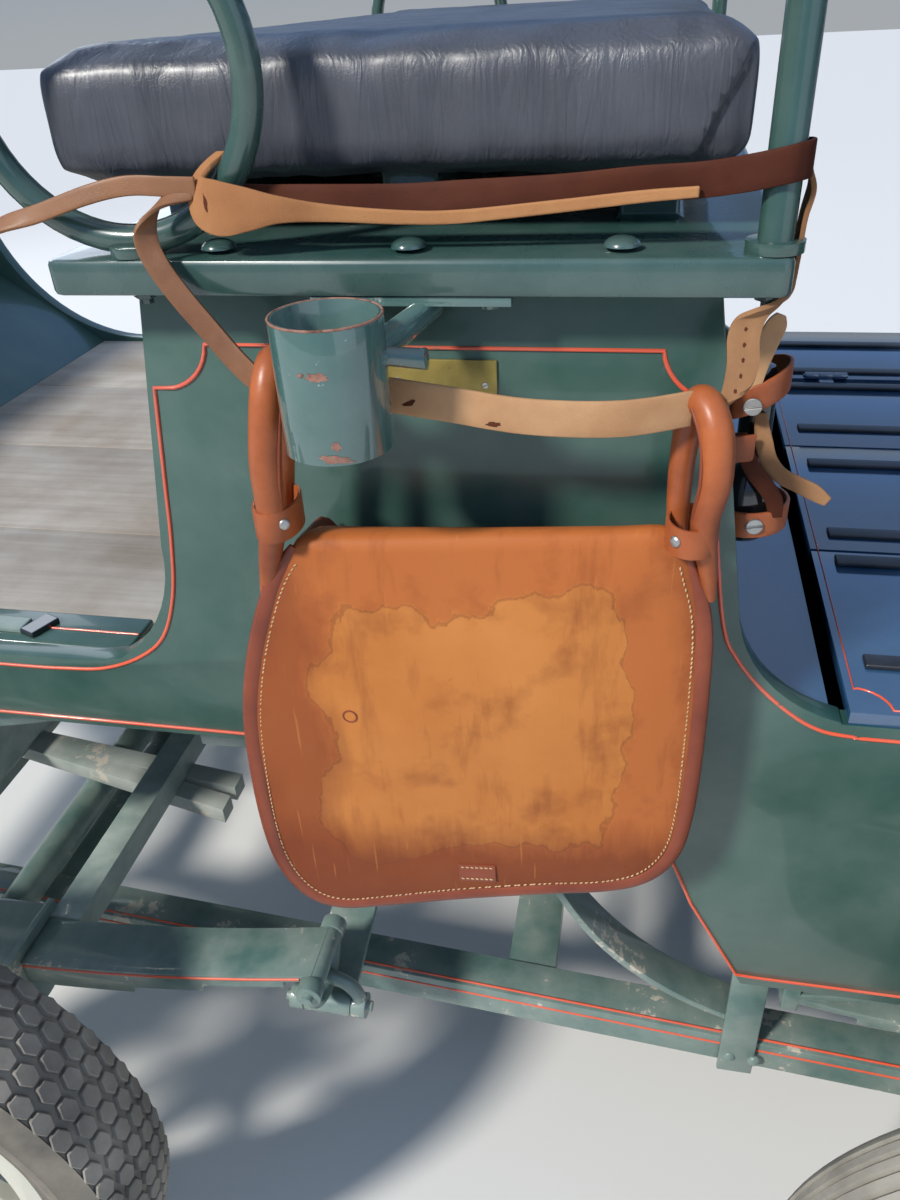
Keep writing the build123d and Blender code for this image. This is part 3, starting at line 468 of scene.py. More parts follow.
setCamera(cameraLook)
setLights(lightLook)
bpy.context.scene.view_settings.view_transform = "Standard"
bpy.ops.mesh.primitive_plane_add(size=60, location=(0, 0, 0))
floor = bpy.context.object
floor.name = "studioFloor"
floorPaint, floorTree, floorShader, _ = startMaterial("studioFloor")
setShader(floorTree, floorShader, {"Base Color": lightLook["floor"], "Roughness": 0.9})
floor.data.materials.append(floorPaint)


# small tools for meshes and objects
def editMesh(*steps):
    # each step: an edit operator and its values, run on the whole of the picked mesh
    bpy.ops.object.mode_set(mode="EDIT")
    for operator, values in steps:
        bpy.ops.mesh.select_all(action="SELECT")
        operator(**values)
    bpy.ops.object.mode_set(mode="OBJECT")


def editFaces(piece, chosen, *steps):
    # the same, started from the faces that are chosen
    for face in piece.data.polygons:
        face.select = chosen(face)
    bpy.ops.object.mode_set(mode="EDIT")
    for operator, values in steps:
        operator(**values)
    bpy.ops.object.mode_set(mode="OBJECT")


def facesUp(face):
    return face.normal.z > 0.9


def smooth(angle):
    bpy.ops.object.shade_smooth_by_angle(angle=math.radians(angle))


def modify(piece, kind, **values):
    modifier = piece.modifiers.new("change", kind)
    for key, value in values.items():
        setattr(modifier, key, value)
    bpy.ops.object.modifier_apply(modifier="change")


def addPiece(name, data):
    piece = bpy.data.objects.new(name, data)
    bpy.context.scene.collection.objects.link(piece)
    return piece


def meshPiece(name, mesh):
    data = bpy.data.meshes.new(name)
    mesh.to_mesh(data)
    mesh.free()
    return addPiece(name, data)


def twin(source):
    copy = source.copy()
    copy.data = source.data.copy()
    bpy.context.scene.collection.objects.link(copy)
    return copy


def revolve(name, profile, centre, axis, steps, weld, closed):
    # a profile spun about an upright axis, or about the Y axis for a wheel
    mesh = bpy.data.meshes.new(name)
    count = len(profile)
    mesh.from_pydata(profile, [(i, (i + 1) % count) for i in range(count if closed else count - 1)], [])
    piece = addPiece(name, mesh)
    pick(piece)
    editMesh((bpy.ops.mesh.spin, {"steps": steps, "angle": math.tau, "center": centre, "axis": axis,
                                  "use_auto_merge": True}),
             (bpy.ops.mesh.remove_doubles, {"threshold": weld}),
             (bpy.ops.mesh.normals_make_consistent, {"inside": False}))
    return piece


def settle(piece, name, material, body):
    pick(piece)
    bpy.ops.object.transform_apply(location=True, rotation=True, scale=True)
    piece.name = name
    piece.data.name = name
    if material:
        piece.data.materials.clear()
        piece.data.materials.append(material)
    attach(piece, body)
    return piece


def easeEdges(nodeName, material, width=0.0015, angle=32):
    # a copy of the CAD node with its sharp edges eased, shown in its place
    source = nodes[nodeName]
    body = source["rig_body"]
    piece = twin(source)
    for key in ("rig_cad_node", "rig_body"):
        del piece[key]
    piece.parent = None
    pick(piece)
    editMesh((bpy.ops.mesh.remove_doubles, {"threshold": 0.00002}),
             (bpy.ops.mesh.dissolve_limited, {"angle_limit": math.radians(0.6)}))
    modify(piece, "BEVEL", width=width, segments=2, limit_method="ANGLE", angle_limit=math.radians(angle),
           harden_normals=False)
    smooth(angle)
    settle(piece, nodeName + "Eased", material, body)
    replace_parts(piece, nodeName)
    return piece


def softLine(points, closed=False, steps=10):
    # a smooth line through the points, as a list of points
    points = [Vector(p) for p in points]
    count = len(points)
    line = []
    last = count if closed else count - 1
    for i in range(last):
        if closed:
            p0, p1, p2, p3 = (points[(i + k) % count] for k in (-1, 0, 1, 2))
        else:
            p0, p1, p2, p3 = points[max(i - 1, 0)], points[i], points[i + 1], points[min(i + 2, count - 1)]
        for s in range(steps):
            t = s / steps
            line.append(0.5 * ((2 * p1) + (p2 - p0) * t + (2 * p0 - 5 * p1 + 4 * p2 - p3) * t * t
                               + (3 * p1 - p0 - 3 * p2 + p3) * t ** 3))
    if not closed:
        line.append(points[-1])
    return line


def roundLine(name, points, radius, material, body, radii=None, smoothed=True, sides=3, closed=False):
    # a round bar, bead or rolled handle along a line
    line = softLine(points, closed) if smoothed else [Vector(p) for p in points]
    curve = bpy.data.curves.new(name, "CURVE")
    curve.dimensions = "3D"
    curve.bevel_depth = radius
    curve.bevel_resolution = sides
    curve.use_fill_caps = True
    spline = curve.splines.new("POLY")
    spline.points.add(len(line) - 1)
    spline.use_cyclic_u = closed
    for i, p in enumerate(line):
        spline.points[i].co = (*p, 1)
        if radii:
            where = i / (len(line) - 1) * (len(radii) - 1)
            low = int(min(where, len(radii) - 2))
            spline.points[i].radius = radii[low] + (radii[low + 1] - radii[low]) * (where - low)
    pick(addPiece(name, curve))
    bpy.ops.object.convert(target="MESH")
    piece = bpy.context.object
    editMesh((bpy.ops.mesh.remove_doubles, {"threshold": 0.00001}),
             (bpy.ops.mesh.normals_make_consistent, {"inside": False}))
    smooth(50)
    return settle(piece, name, material, body)


def joinPieces(pieces, name):
    pick(*pieces)
    bpy.ops.object.join()
    joined = bpy.context.object
    joined.name = name
    joined.data.name = name
    return joined


def flatStrap(name, rows, width, thick, material, body, steps=8):
    # rows: (point on the strap's middle line, direction across its width, share of the full width)
    middle = softLine([r[0] for r in rows], steps=steps)
    across = softLine([r[1] for r in rows], steps=steps)
    shares = softLine([(r[2] if len(r) > 2 else 1, 0, 0) for r in rows], steps=steps)
    mesh = bmesh.new()
    lines = []
    for i, (p, a) in enumerate(zip(middle, across)):
        side = a.normalized() * width * max(shares[i].x, 0.05) / 2
        lines.append([mesh.verts.new(p + side * k) for k in (-1, -0.5, 0, 0.5, 1)])
    for low, high in zip(lines[:-1], lines[1:]):
        for k in range(4):
            mesh.faces.new((low[k], low[k + 1], high[k + 1], high[k]))
    piece = meshPiece(name, mesh)
    pick(piece)
    modify(piece, "SOLIDIFY", thickness=thick, offset=0)
    modify(piece, "BEVEL", width=thick * 0.3, segments=2, angle_limit=math.radians(50))
    editMesh((bpy.ops.mesh.normals_make_consistent, {"inside": False}))
    smooth(45)
    return settle(piece, name, material, body)


def roundedBlock(place, size, turn, ease, segments=2):
    # turn: degrees about the upright axis
    bpy.ops.mesh.primitive_cube_add(size=1, location=place, rotation=(0, 0, math.radians(turn)))
    block = bpy.context.object
    block.scale = size
    bpy.ops.object.transform_apply(location=True, rotation=True, scale=True)
    modify(block, "BEVEL", width=ease, segments=segments)
    return block


# painted and wooden pieces carried over with eased edges
easedLook = {
    "coachGreen": ["side_panel_left", "side_panel_right", "dash", "driver_box_walls", "rear_box_front",
                   "front_sills"],
    "plankGreen": ["driver_plank", "rear_plank"],
    "cupGreenPaintedLight": ["cup_holder"],
    "railGreen": ["driver_seat_rails", "rear_seat_rails"],
    "deckGreenPaintedSky": ["deck_boards", "deck_lid"],
    "bootGreenPaintedShade": ["boot_shell"],
    "gearGreen": ["perches", "perch_irons", "rear_axle", "rear_springs", "front_axle", "front_side_springs",
                  "front_cross_springs", "front_shackles", "swingletree_left", "swingletree_right", "pole"],
    "frameGreen": ["gear_frame"],
    "wornBeam": ["draught_frame"],
    "greased": ["upper_ring"],
    "wheelCream": ["wheel_front_left", "wheel_front_right", "wheel_rear_left", "wheel_rear_right"],
    "ribRubber": ["deck_strips", "deck_lid_strips"],
}
edgeWidth = {"side_panel_left": 0.005, "side_panel_right": 0.005, "driver_plank": 0.004,
             "rear_plank": 0.004, "cup_holder": 0.001,
             "front_shackles": 0.001, "perches": 0.003, "gear_frame": 0.003, "draught_frame": 0.004,
             "deck_lid": 0.0025,
             "deck_boards": 0.0015, "front_sills": 0.003, "maker_plate": 0.0003, "deck_strips": 0.0015,
             "deck_lid_strips": 0.0015}
eased = {}
for paintName, group in easedLook.items():
    for nodeName in group:
        eased[nodeName] = easeEdges(nodeName, paints[paintName], edgeWidth.get(nodeName, 0.0015))
canLook = {"axis": (1.004, -0.631), "reach": 0.0385, "low": 1.11, "high": 1.207, "top": 1.205, "slim": 0.94,
           "short": 0.9}
for vertex in eased["cup_holder"].data.vertices:
    dx, dy = vertex.co.x - canLook["axis"][0], vertex.co.y - canLook["axis"][1]
    if math.hypot(dx, dy) < canLook["reach"] and canLook["low"] < vertex.co.z < canLook["high"]:
        vertex.co.x -= dx * (1 - canLook["slim"])
        vertex.co.y -= dy * (1 - canLook["slim"])
        vertex.co.z += (canLook["top"] - vertex.co.z) * (1 - canLook["short"])
eased["front_floor"] = easeEdges("front_floor", floorBoards, 0.0012)
eased["maker_plate"] = easeEdges("maker_plate", metals["brassSheet"], edgeWidth["maker_plate"])
print("painted pieces eased")

# coach lines: thin raised beads of paint, 11 mm in from the edges
lineLook = {"radius": 0.0018, "sunk": 0.0009}


def coachLine(name, points, body, radius=0.0016, closed=False):
    return roundLine(name, points, radius, paints["coachLine"], body, smoothed=False, sides=2,
                     closed=closed)


def smoothXZ(points, steps=6):
    return [(p.x, p.z) for p in softLine([(x, 0, z) for x, z in points], steps=steps)]


def arcPoints(centre, radius, start, end, steps=10):
    found = []
    for i in range(steps + 1):
        a = math.radians(start + (end - start) * i / steps)
        found.append((centre[0] + radius * math.cos(a), centre[1] + radius * math.sin(a)))
    return found


# one long line: sill, up the seat box, over, down into the deck and on to the rear box
seatBoxLine = [(-0.02, 0.885), (0.08, 0.848), (0.2, 0.828), (0.3, 0.8235), (0.583, 0.8232), (0.655, 0.8245),
               (0.6995, 0.829),
               (0.7406, 0.846), (0.7705, 0.8725), (0.7905, 0.9198), (0.8015, 0.9766), (0.808, 1.03),
               (0.818, 1.114)]
seatBoxLine = smoothXZ(seatBoxLine)
seatBoxLine += arcPoints((0.826, 1.155), 0.0415, -78, -8, 8)
seatBoxLine += arcPoints((1.2475, 1.155), 0.0415, 188, 250, 8)
deckLine = [(1.236, 1.114), (1.252, 1.03), (1.268, 0.93), (1.283, 0.894), (1.313, 0.858), (1.35, 0.83),
            (1.385, 0.8225),
            (1.45, 0.8215), (1.99, 0.8215)]
seatBoxLine += smoothXZ(deckLine)
rearLine = [(1.99, 0.8215), (2.012, 0.832), (2.032, 0.89), (2.045, 0.976), (2.063, 1.114)]
seatBoxLine += smoothXZ(rearLine)[1:]
seatBoxLine += arcPoints((2.071, 1.155), 0.0415, -78, -8, 8)
seatBoxLine += [(2.43, 1.149)] + arcPoints((2.475, 1.155), 0.0415, 188, 262, 8)
seatBoxLine += [(2.472, 0.66), (2.462, 0.6), (2.44, 0.55), (2.41, 0.515), (2.385, 0.4925), (1.345, 0.4925),
                (1.326, 0.4935),
                (1.272, 0.594), (1.258, 0.63), (1.24, 0.672), (1.21, 0.715), (1.18, 0.745), (1.15, 0.7622),
                (0.561, 0.7605),
                (0.15, 0.7605), (0.06, 0.775), (-0.02, 0.82), (-0.06, 0.87), (-0.078, 0.94),
                (-0.083, 0.998)]
seatBoxLine += [(-0.055, 1.005), (-0.045, 0.95), (-0.02, 0.885)]
for side, label in ((-1, "Left"), (1, "Right")):
    face = side * 0.52 + side * (lineLook["radius"] * 0.5 - lineLook["sunk"])
    coachLine("panelLine" + label, [(x, face, z) for x, z in seatBoxLine], "carriage", lineLook["radius"])

capLook = {"z": 0.836, "y": 0.4715, "start": 0.302, "end": 0.712}
capLines = []
for side in (-1, 1):
    ends = [(capLook[end], side * capLook["y"], capLook["z"]) for end in ("start", "end")]
    capLines.append(coachLine("capLine", ends, "carriage", 0.0014))
joinPieces(capLines, "capLines")
lidZ = 0.847
lidLine = [(1.386, 0.262, lidZ), (1.386, -0.486, lidZ)]
lidLine += [(x, y, lidZ) for x, y in arcPoints((1.384, -0.514), 0.03, 80, 4, 6)]
lidLine += [(x, y, lidZ) for x, y in arcPoints((1.986, -0.514), 0.03, 176, 100, 6)]
lidLine += [(1.984, 0.262, lidZ)]
coachLine("lidLine", lidLine, "boot_lid", 0.0012, closed=True)


def perchY(x):
    # the perches spread towards the back
    return 0.39 + 0.0612 * (x - 0.4)


springLook = {"half": 0.47, "radius": 2.035, "level": 0.4205, "x": 0.4, "y": 0.5862}
springLines = []
perchLines = []
for side in (-1, 1):
    points = []
    for i in range(17):
        along = springLook["half"] * (i / 8 - 1)
        rise = springLook["radius"] - math.sqrt(springLook["radius"] ** 2 - along ** 2)
        points.append((springLook["x"] + along, side * springLook["y"], springLook["level"] + rise))
    springLines.append(coachLine("springLine", points, "front_gear"))
joinPieces(springLines, "springLines")
for side in (-1, 1):
    for stops, out, z, radius in (((0.32, 1.3, 1.76), 0.019, 0.3132, 0.0016),
                                  ((0.16, 1.3, 1.78), 0.0252, 0.3, 0.0014)):
        points = [(x, side * (perchY(x) + out), z) for x in stops]
        perchLines.append(coachLine("perchLine", points, "carriage", radius))
joinPieces(perchLines, "perchLines")
print("coach lines drawn")


# bolts: a domed head or a slotted one, made once and copied
def domeHead(radius, height):
    bpy.ops.mesh.primitive_uv_sphere_add(segments=20, ring_count=12, radius=radius, location=(0, 0, 0))
    head = bpy.context.object
    cut = {"plane_co": (0, 0, 0), "plane_no": (0, 0, 1), "clear_inner": True, "use_fill": True}
    editMesh((bpy.ops.mesh.bisect, cut), (bpy.ops.transform.resize, {"value": (1, 1, height / radius)}))
    smooth(50)
    return head


def hexNut(radius, height):
    bpy.ops.mesh.primitive_cylinder_add(vertices=6, radius=radius, depth=height,
                                        location=(0, 0, height / 2))
    nut = bpy.context.object
    bpy.ops.object.mode_set(mode="EDIT")
    bpy.ops.mesh.select_all(action="DESELECT")
    bpy.ops.object.mode_set(mode="OBJECT")
    editFaces(nut, facesUp, (bpy.ops.mesh.inset, {"thickness": radius * 0.12, "depth": radius * 0.1}),
              (bpy.ops.mesh.inset, {"thickness": radius * 0.3, "depth": 0}),
              (bpy.ops.mesh.extrude_region_move, {"TRANSFORM_OT_translate": {"value": (0, 0,
                                                                                       height * 0.5)}}))
    return nut


def slottedHead(radius, height):
    bpy.ops.mesh.primitive_cylinder_add(vertices=24, radius=radius, depth=height,
                                        location=(0, 0, height / 2))
    head = bpy.context.object
    editMesh((bpy.ops.mesh.bisect, {"plane_co": (0, radius * 0.14, 0), "plane_no": (0, 1, 0)}),
             (bpy.ops.mesh.bisect, {"plane_co": (0, -radius * 0.14, 0), "plane_no": (0, 1, 0)}))
    editFaces(head, lambda face: facesUp(face) and abs(face.center.y) < radius * 0.1,
              (bpy.ops.mesh.extrude_region_move, {"TRANSFORM_OT_translate": {"value": (0, 0,
                                                                                       -height * 0.6)}}))
    modify(head, "BEVEL", width=height * 0.25, segments=2, angle_limit=math.radians(50))
    return head


def scatter(name, model, places, material, body):
    # places: (point, direction the head faces, spin)
    copies = []
    for point, facing, spin in places:
        copy = twin(model)
        turn = Vector(facing).to_track_quat("Z", "Y").to_matrix().to_4x4()
        copy.matrix_world = Matrix.Translation(point) @ turn @ Matrix.Rotation(math.radians(spin), 4, "Z")
        copies.append(copy)
    joined = joinPieces(copies, name)
    bpy.data.objects.remove(model)
    return settle(joined, name, material, body)


# from the driver's bench to the rear one
benchStep = 1.245


def onBenches(stops, y, z, facing, spin):
    # the same places on both benches and both sides
    sides = [(offset, side) for offset in (0, benchStep) for side in (-1, 1)]
    return [((x + offset, side * y, z), facing, spin) for offset, side in sides for x in stops]


boltLook = {"plankDome": (0.012, 0.006), "plankNut": (0.009, 0.008), "screw": (0.0065, 0.003),
            "plate": (0.0022, 0.0012),
            "stud": (0.0042, 0.002), "perch": (0.008, 0.006), "cap": (0.011, 0.006)}
plankBolts = onBenches((0.90, 1.035, 1.175), 0.537, 1.22, (0, 0, 1), 0)
scatter("plankBolts", domeHead(*boltLook["plankDome"]), plankBolts, paints["plankGreen"], "carriage")
plankNuts = onBenches((0.84, 1.268), 0.541, 1.195, (0, 0, -1), 15)
scatter("plankNuts", hexNut(*boltLook["plankNut"]), plankNuts, paints["railGreen"], "carriage")
print("bolts set")


# seat cushions and back pads: black hide over foam, swollen by a short cloth simulation
cushionLook = {"low": (0.7665, -0.5105, 1.2635), "high": (1.2535, 0.5105, 1.3385), "voxel": 0.009,
               "cap": 0.008,
               "seam": 0.12, "crease": 0.0034, "fold": {"low": (1.2125, 1.262), "high": (1.2505, 1.341),
                                                        "tuck": (1.2535, 1.2675),
                                                        "face": -0.495, "depth": 0.0042}}
backLook = {"low": (1.212, -0.5, 1.505), "high": (1.253, 0.5, 1.695), "voxel": 0.011, "cap": 0.008,
            "seam": 0.12, "crease": 0.003}


def padBlank(name, low, high, voxel):
    middle = [(a + b) / 2 for a, b in zip(low, high)]
    pad = roundedBlock(middle, [b - a for a, b in zip(low, high)], 0, 0.014, 4)
    pad.name = name
    modify(pad, "REMESH", mode="VOXEL", voxel_size=voxel)
    return pad


def swell(pad, look):
    # pressure from inside; each point may move only as far as the cap
    scene = bpy.context.scene
    start = [v.co.copy() for v in pad.data.vertices]
    facing = [v.normal.copy() for v in pad.data.vertices]
    cloth = pad.modifiers.new("cloth", "CLOTH")
    cloth.settings.quality = 4
    cloth.settings.use_pressure = True
    cloth.settings.uniform_pressure_force = 4
    cloth.settings.shrink_min = -0.03
    cloth.settings.effector_weights.gravity = 0
    cloth.collision_settings.use_collision = False
    for step in range(1, 21):
        scene.frame_set(step)
    puffed = pad.evaluated_get(bpy.context.evaluated_depsgraph_get()).to_mesh()
    moved = [v.co.copy() for v in puffed.vertices]
    pad.modifiers.remove(cloth)
    scene.frame_set(1)
    for vertex, old, new, normal in zip(pad.data.vertices, start, moved, facing):
        # what the pressure pulls inward, at the corners, is held by the cover's seams
        shift = new - old
        if shift.dot(normal) < 0:
            shift *= look["seam"]
        if shift.length > look["cap"]:
            shift *= look["cap"] / shift.length
        vertex.co = old + shift


def creasePad(pad, low, high, depth):
    # creases: they run down the sides and fade across the top
    middle = (Vector(low) + Vector(high)) / 2
    facing = [v.normal.copy() for v in pad.data.vertices]
    for vertex, normal in zip(pad.data.vertices, facing):
        p = vertex.co.copy()
        side = max(abs(p.x - middle.x) / (high[0] - low[0]), abs(p.y - middle.y) / (high[1] - low[1])) * 2
        weight = 0.35 + 0.65 * max(0, min(1, (side - 0.86) / 0.1))
        a = noise.noise(Vector((p.x * 26, p.y * 26, p.z * 7)))
        b = noise.noise(Vector((p.x * 60 + 5, p.y * 60, p.z * 22)))
        crease = -abs(a) * 0.75 + b * 0.3
        vertex.co = p + normal * crease * depth * weight


def foldEnd(pad, look):
    # the cover is folded like an envelope at the rear end of the near side: a crisp step along a slant
    fold = look["fold"]
    low, high = Vector((fold["low"][0], 0, fold["low"][1])), Vector((fold["high"][0], 0, fold["high"][1]))
    along = (high - low).normalized()
    out = Vector((along.z, 0, -along.x))
    mesh = bmesh.new()
    mesh.from_mesh(pad.data)
    for shift in (0, 0.0011):
        bmesh.ops.bisect_plane(mesh, geom=mesh.verts[:] + mesh.edges[:] + mesh.faces[:], dist=0.00002,
                               plane_co=low + out * shift, plane_no=out)
    slant = Vector((fold["tuck"][0], 0, fold["tuck"][1])) - low
    upward = Vector((-slant.z, 0, slant.x)).normalized()
    bmesh.ops.bisect_plane(mesh, geom=mesh.verts[:] + mesh.edges[:] + mesh.faces[:], dist=0.00002,
                           plane_co=low, plane_no=upward)
    for vertex in mesh.verts:
        p = vertex.co
        if p.y > fold["face"] or (p - low).dot(out) < 0.0005:
            continue
        inward = min(1, (fold["face"] - p.y) / 0.01)
        below = (p - low).dot(upward) < -0.0004
        p.y += inward * (fold["depth"] * (0.4 if below else 1))
    mesh.to_mesh(pad.data)
    mesh.free()


def dressPad(pad, name, nodeName):
    settle(pad, name, hides["blackHide"], "carriage")
    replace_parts(pad, nodeName)
    return pad


def makePad(name, look, nodeName):
    pad = padBlank(name, look["low"], look["high"], look["voxel"])
    swell(pad, look)
    pick(pad)
    modify(pad, "SUBSURF", levels=1, render_levels=1)
    creasePad(pad, look["low"], look["high"], look["crease"])
    if "fold" in look:
        foldEnd(pad, look)
    bpy.ops.object.shade_smooth()
    return dressPad(pad, name, nodeName)


def copyPad(pad, name, shift, nodeName):
    copy = twin(pad)
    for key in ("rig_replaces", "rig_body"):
        del copy[key]
    copy.parent = None
    copy.location.x = shift
    return dressPad(copy, name, nodeName)


driverCushion = makePad("driverCushion", cushionLook, "driver_cushion")
copyPad(driverCushion, "rearCushion", benchStep, "rear_cushion")
driverBack = makePad("driverBack", backLook, "driver_back_pad")
copyPad(driverBack, "rearBack", benchStep, "rear_back_pad")
print("seats padded")


# tyres: a spun casing, hexagonal blocks in front and ribs behind
tyreLook = {
    "centres": {"front_left": (0.4, -1), "front_right": (0.4, 1), "rear_left": (1.695, -1),
                "rear_right": (1.695, 1)},
    "track": 0.746, "axleZ": 0.345, "treadFrom": 0.3265, "crown": 0.3445, "drop": 0.012, "halfTread": 0.05,
    "blockPitch": 76, "rows": (-0.0425, -0.0215, 0, 0.0215, 0.0425),
}


def crown(w):
    # tread radius at a width
    return tyreLook["crown"] - tyreLook["drop"] * (w / tyreLook["halfTread"]) ** 2


def casingProfile(ribbed):
    right = [(0.2365, 0.039), (0.249, 0.0405), (0.262, 0.05), (0.272, 0.0562), (0.2745, 0.0585),
             (0.277, 0.0577), (0.287, 0.061),
             (0.2955, 0.0618), (0.298, 0.0626), (0.3005, 0.0614), (0.312, 0.0592), (0.322, 0.0555),
             (0.33, 0.0515)]
    tread = []
    if ribbed:
        for w in (0.04, 0.026, 0.0125, -0.001, -0.0145, -0.028, -0.042):
            edge = w + 0.0015
            tread += [(crown(edge + 0.0015), edge + 0.0015), (crown(edge) - 0.0065, edge),
                      (crown(edge) - 0.0065, edge - 0.003),
                      (crown(edge - 0.0045), edge - 0.0045)]
    else:
        tread = [(crown(w) - 0.006, w) for w in (0.049, 0.035, 0.02, 0, -0.02, -0.035, -0.049)]
    left = [(r, -w) for r, w in reversed(right)]
    return right + tread + left


def treadBlock(look):
    pitch = math.tau * 0.34 / look["blockPitch"]
    bpy.ops.mesh.primitive_cylinder_add(vertices=6, radius=pitch * 0.5, depth=0.007, location=(0, 0, 0))
    block = bpy.context.object
    editMesh((bpy.ops.transform.resize, {"value": (0.98, 0.72, 1)}))
    editFaces(block, facesUp, (bpy.ops.mesh.bevel, {"offset": 0.0009, "segments": 1}))
    return block


def makeTyre(corner, look):
    x, side = look["centres"][corner]
    front = corner.startswith("front")
    name = "tyre_" + corner + "_tread"
    profile = [(r, w, 0) for r, w in casingProfile(not front)]
    casing = revolve("tyre_" + corner + "_casing", profile, (0, 0, 0), (0, 1, 0), 120, 0.00002, True)
    smooth(35)
    skins = (rubbers["wallRubber"], rubbers["treadRubber" if front else "ribbedRubber"])
    for rubber in skins:
        casing.data.materials.append(rubber)
    for face in casing.data.polygons:
        if math.hypot(face.center.x, face.center.z) > look["treadFrom"]:
            face.material_index = 1
    pieces = [casing]
    if front:
        block = treadBlock(look)
        for rubber in skins:
            block.data.materials.append(rubber)
        for face in block.data.polygons:
            face.material_index = 1
        for row, w in enumerate(look["rows"]):
            lean = math.atan2(-2 * look["drop"] * w / look["halfTread"] ** 2, 1)
            for i in range(look["blockPitch"]):
                angle = math.tau * (i + 0.5 * (row % 2)) / look["blockPitch"]
                copy = twin(block)
                place = Matrix.Translation((0, w, crown(w) - 0.0036))
                copy.matrix_world = Matrix.Rotation(angle, 4, "Y") @ place @ Matrix.Rotation(lean, 4, "X")
                pieces.append(copy)
        bpy.data.objects.remove(block)
    tyre = joinPieces(pieces, name)
    tyre.location = (x, side * look["track"], look["axleZ"])
    settle(tyre, name, None, "wheel_" + corner)
    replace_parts(tyre, "tyre_" + corner)


for corner in tyreLook["centres"]:
    makeTyre(corner, tyreLook)
print("tyres treaded")


# tool bag: a domed flap with a stitched dark binding over a soft body
bagLook = {
    "outline": [(0.955, 1.037), (1.0, 1.0385), (1.09, 1.041), (1.18, 1.043), (1.226, 1.041),
                (1.2435, 1.006), (1.2535, 0.965),
                (1.2575, 0.90), (1.2585, 0.83), (1.2565, 0.77), (1.249, 0.722), (1.229, 0.69),
                (1.195, 0.674), (1.14, 0.666),
                (1.05, 0.652), (0.985, 0.64), (0.94, 0.634), (0.913, 0.645), (0.894, 0.675), (0.8845, 0.72),
                (0.882, 0.79),
                (0.886, 0.864), (0.9, 0.93), (0.9225, 0.992), (0.9415, 1.025)],
    "leftFace": -0.6135, "rightFace": -0.577, "back": -0.5235, "dome": 0.011, "middle": (1.07, 0.85),
    "stitchPitch": 0.0047, "patch": {"place": [1.0745, -0.6, 0.6935], "size": (0.0335, 0.003, 0.021)},
    "ring": [0.979, -0.613, 0.877],
}


def bagFace(look, x):
    # the flap's plane: its left side stands further out
    share = (x - 0.882) / (1.2585 - 0.882)
    return look["leftFace"] + (look["rightFace"] - look["leftFace"]) * share


def ringPoints(look, scale, push, steps=6):
    outline = softLine([(x, 0, z) for x, z in look["outline"]], closed=True, steps=steps)
    cx, cz = look["middle"]
    found = []
    for p in outline:
        dx, dz = p.x - cx, p.z - cz
        length = math.hypot(dx, dz)
        reach = (length * scale[0] + scale[1]) / length
        x, z = cx + dx * reach, cz + dz * reach
        found.append(Vector((x, bagFace(look, x) + push, z)))
    return found


def ringFaces(mesh, rows):
    # joins rows of points, each a closed ring, with faces
    count = len(rows[0])
    for low, high in zip(rows[:-1], rows[1:]):
        for i in range(count):
            mesh.faces.new((low[i], low[(i + 1) % count], high[(i + 1) % count], high[i]))


def skin(name, rings):
    # a closed skin over rings of points, in their order
    mesh = bmesh.new()
    rows = [[mesh.verts.new(p) for p in ring] for ring in rings]
    ringFaces(mesh, rows)
    mesh.faces.new(rows[0])
    mesh.faces.new(list(reversed(rows[-1])))
    bmesh.ops.recalc_face_normals(mesh, faces=mesh.faces)
    return meshPiece(name, mesh)


def topShare(p):
    # 1 along the bag's top edge, fading out round its two corners
    rise = min(1, max(0, (p.z - 1.016) / 0.012))
    left = min(1, max(0, (p.x - 0.944) / 0.014))
    right = min(1, max(0, (1.2385 - p.x) / 0.014))
    return rise * left * right


def rolled(look, ring, weights, share, lift):
    # a ring whose top edge is drawn back over the bag and lifted
    return [Vector((p.x, p.y + (look["back"] - p.y) * share * w, p.z + lift * w)) for p,
            w in zip(ring, weights)]


def makeFlap(look, rim, weights):
    shares = [0.02, 0.12, 0.25, 0.38, 0.5, 0.62, 0.72, 0.8, 0.87, 0.92, 0.96]
    flapRings = [ringPoints(look, (share, 0), -look["dome"] * (1 - share ** 2.6)) for share in shares]
    # round the edge and over the top: inset, push, how far back and how high the top is drawn
    for inset, push, back, lift in ((-0.006, 0, 0.06, 0.002), (-0.006, 0.0015, 0.2, 0.001),
                                    (-0.006, 0.0035, 0.45, -0.008), (-0.009, 0.0035, 0.9, -0.034)):
        flapRings.append(rolled(look, ringPoints(look, (1, inset), push), weights, back, lift))
    flapRings.append(ringPoints(look, (0.8, 0), 0.0015))
    edges = [1 - share for share in shares] + [0, 0, 0, 0, 0.1]
    flap = skin("bagFlap", flapRings)
    attribute = flap.data.attributes.new("edge", "FLOAT", "POINT")
    cx, cz = look["middle"]
    inward = []
    placed = []
    for edge, ring in zip(edges, flapRings):
        for k, p in enumerate(ring):
            # lower parts are dark further in, the rolled top stays light
            reach = math.hypot(rim[k].x - cx, rim[k].z - cz)
            low = max(0, (cz - p.z) / 0.2) * 0.25
            inward.append(max(weights[k] * 0.22, edge * reach / 0.19 - low * 0.35))
            placed += [p.x, p.y + noise.noise(p * 9) * 0.0035 * min(1, edge * 3), p.z]
    attribute.data.foreach_set("value", inward)
    flap.data.vertices.foreach_set("co", placed)
    pick(flap)
    bpy.ops.object.shade_smooth()
    return settle(flap, "bagFlap", bagHide, "carriage")


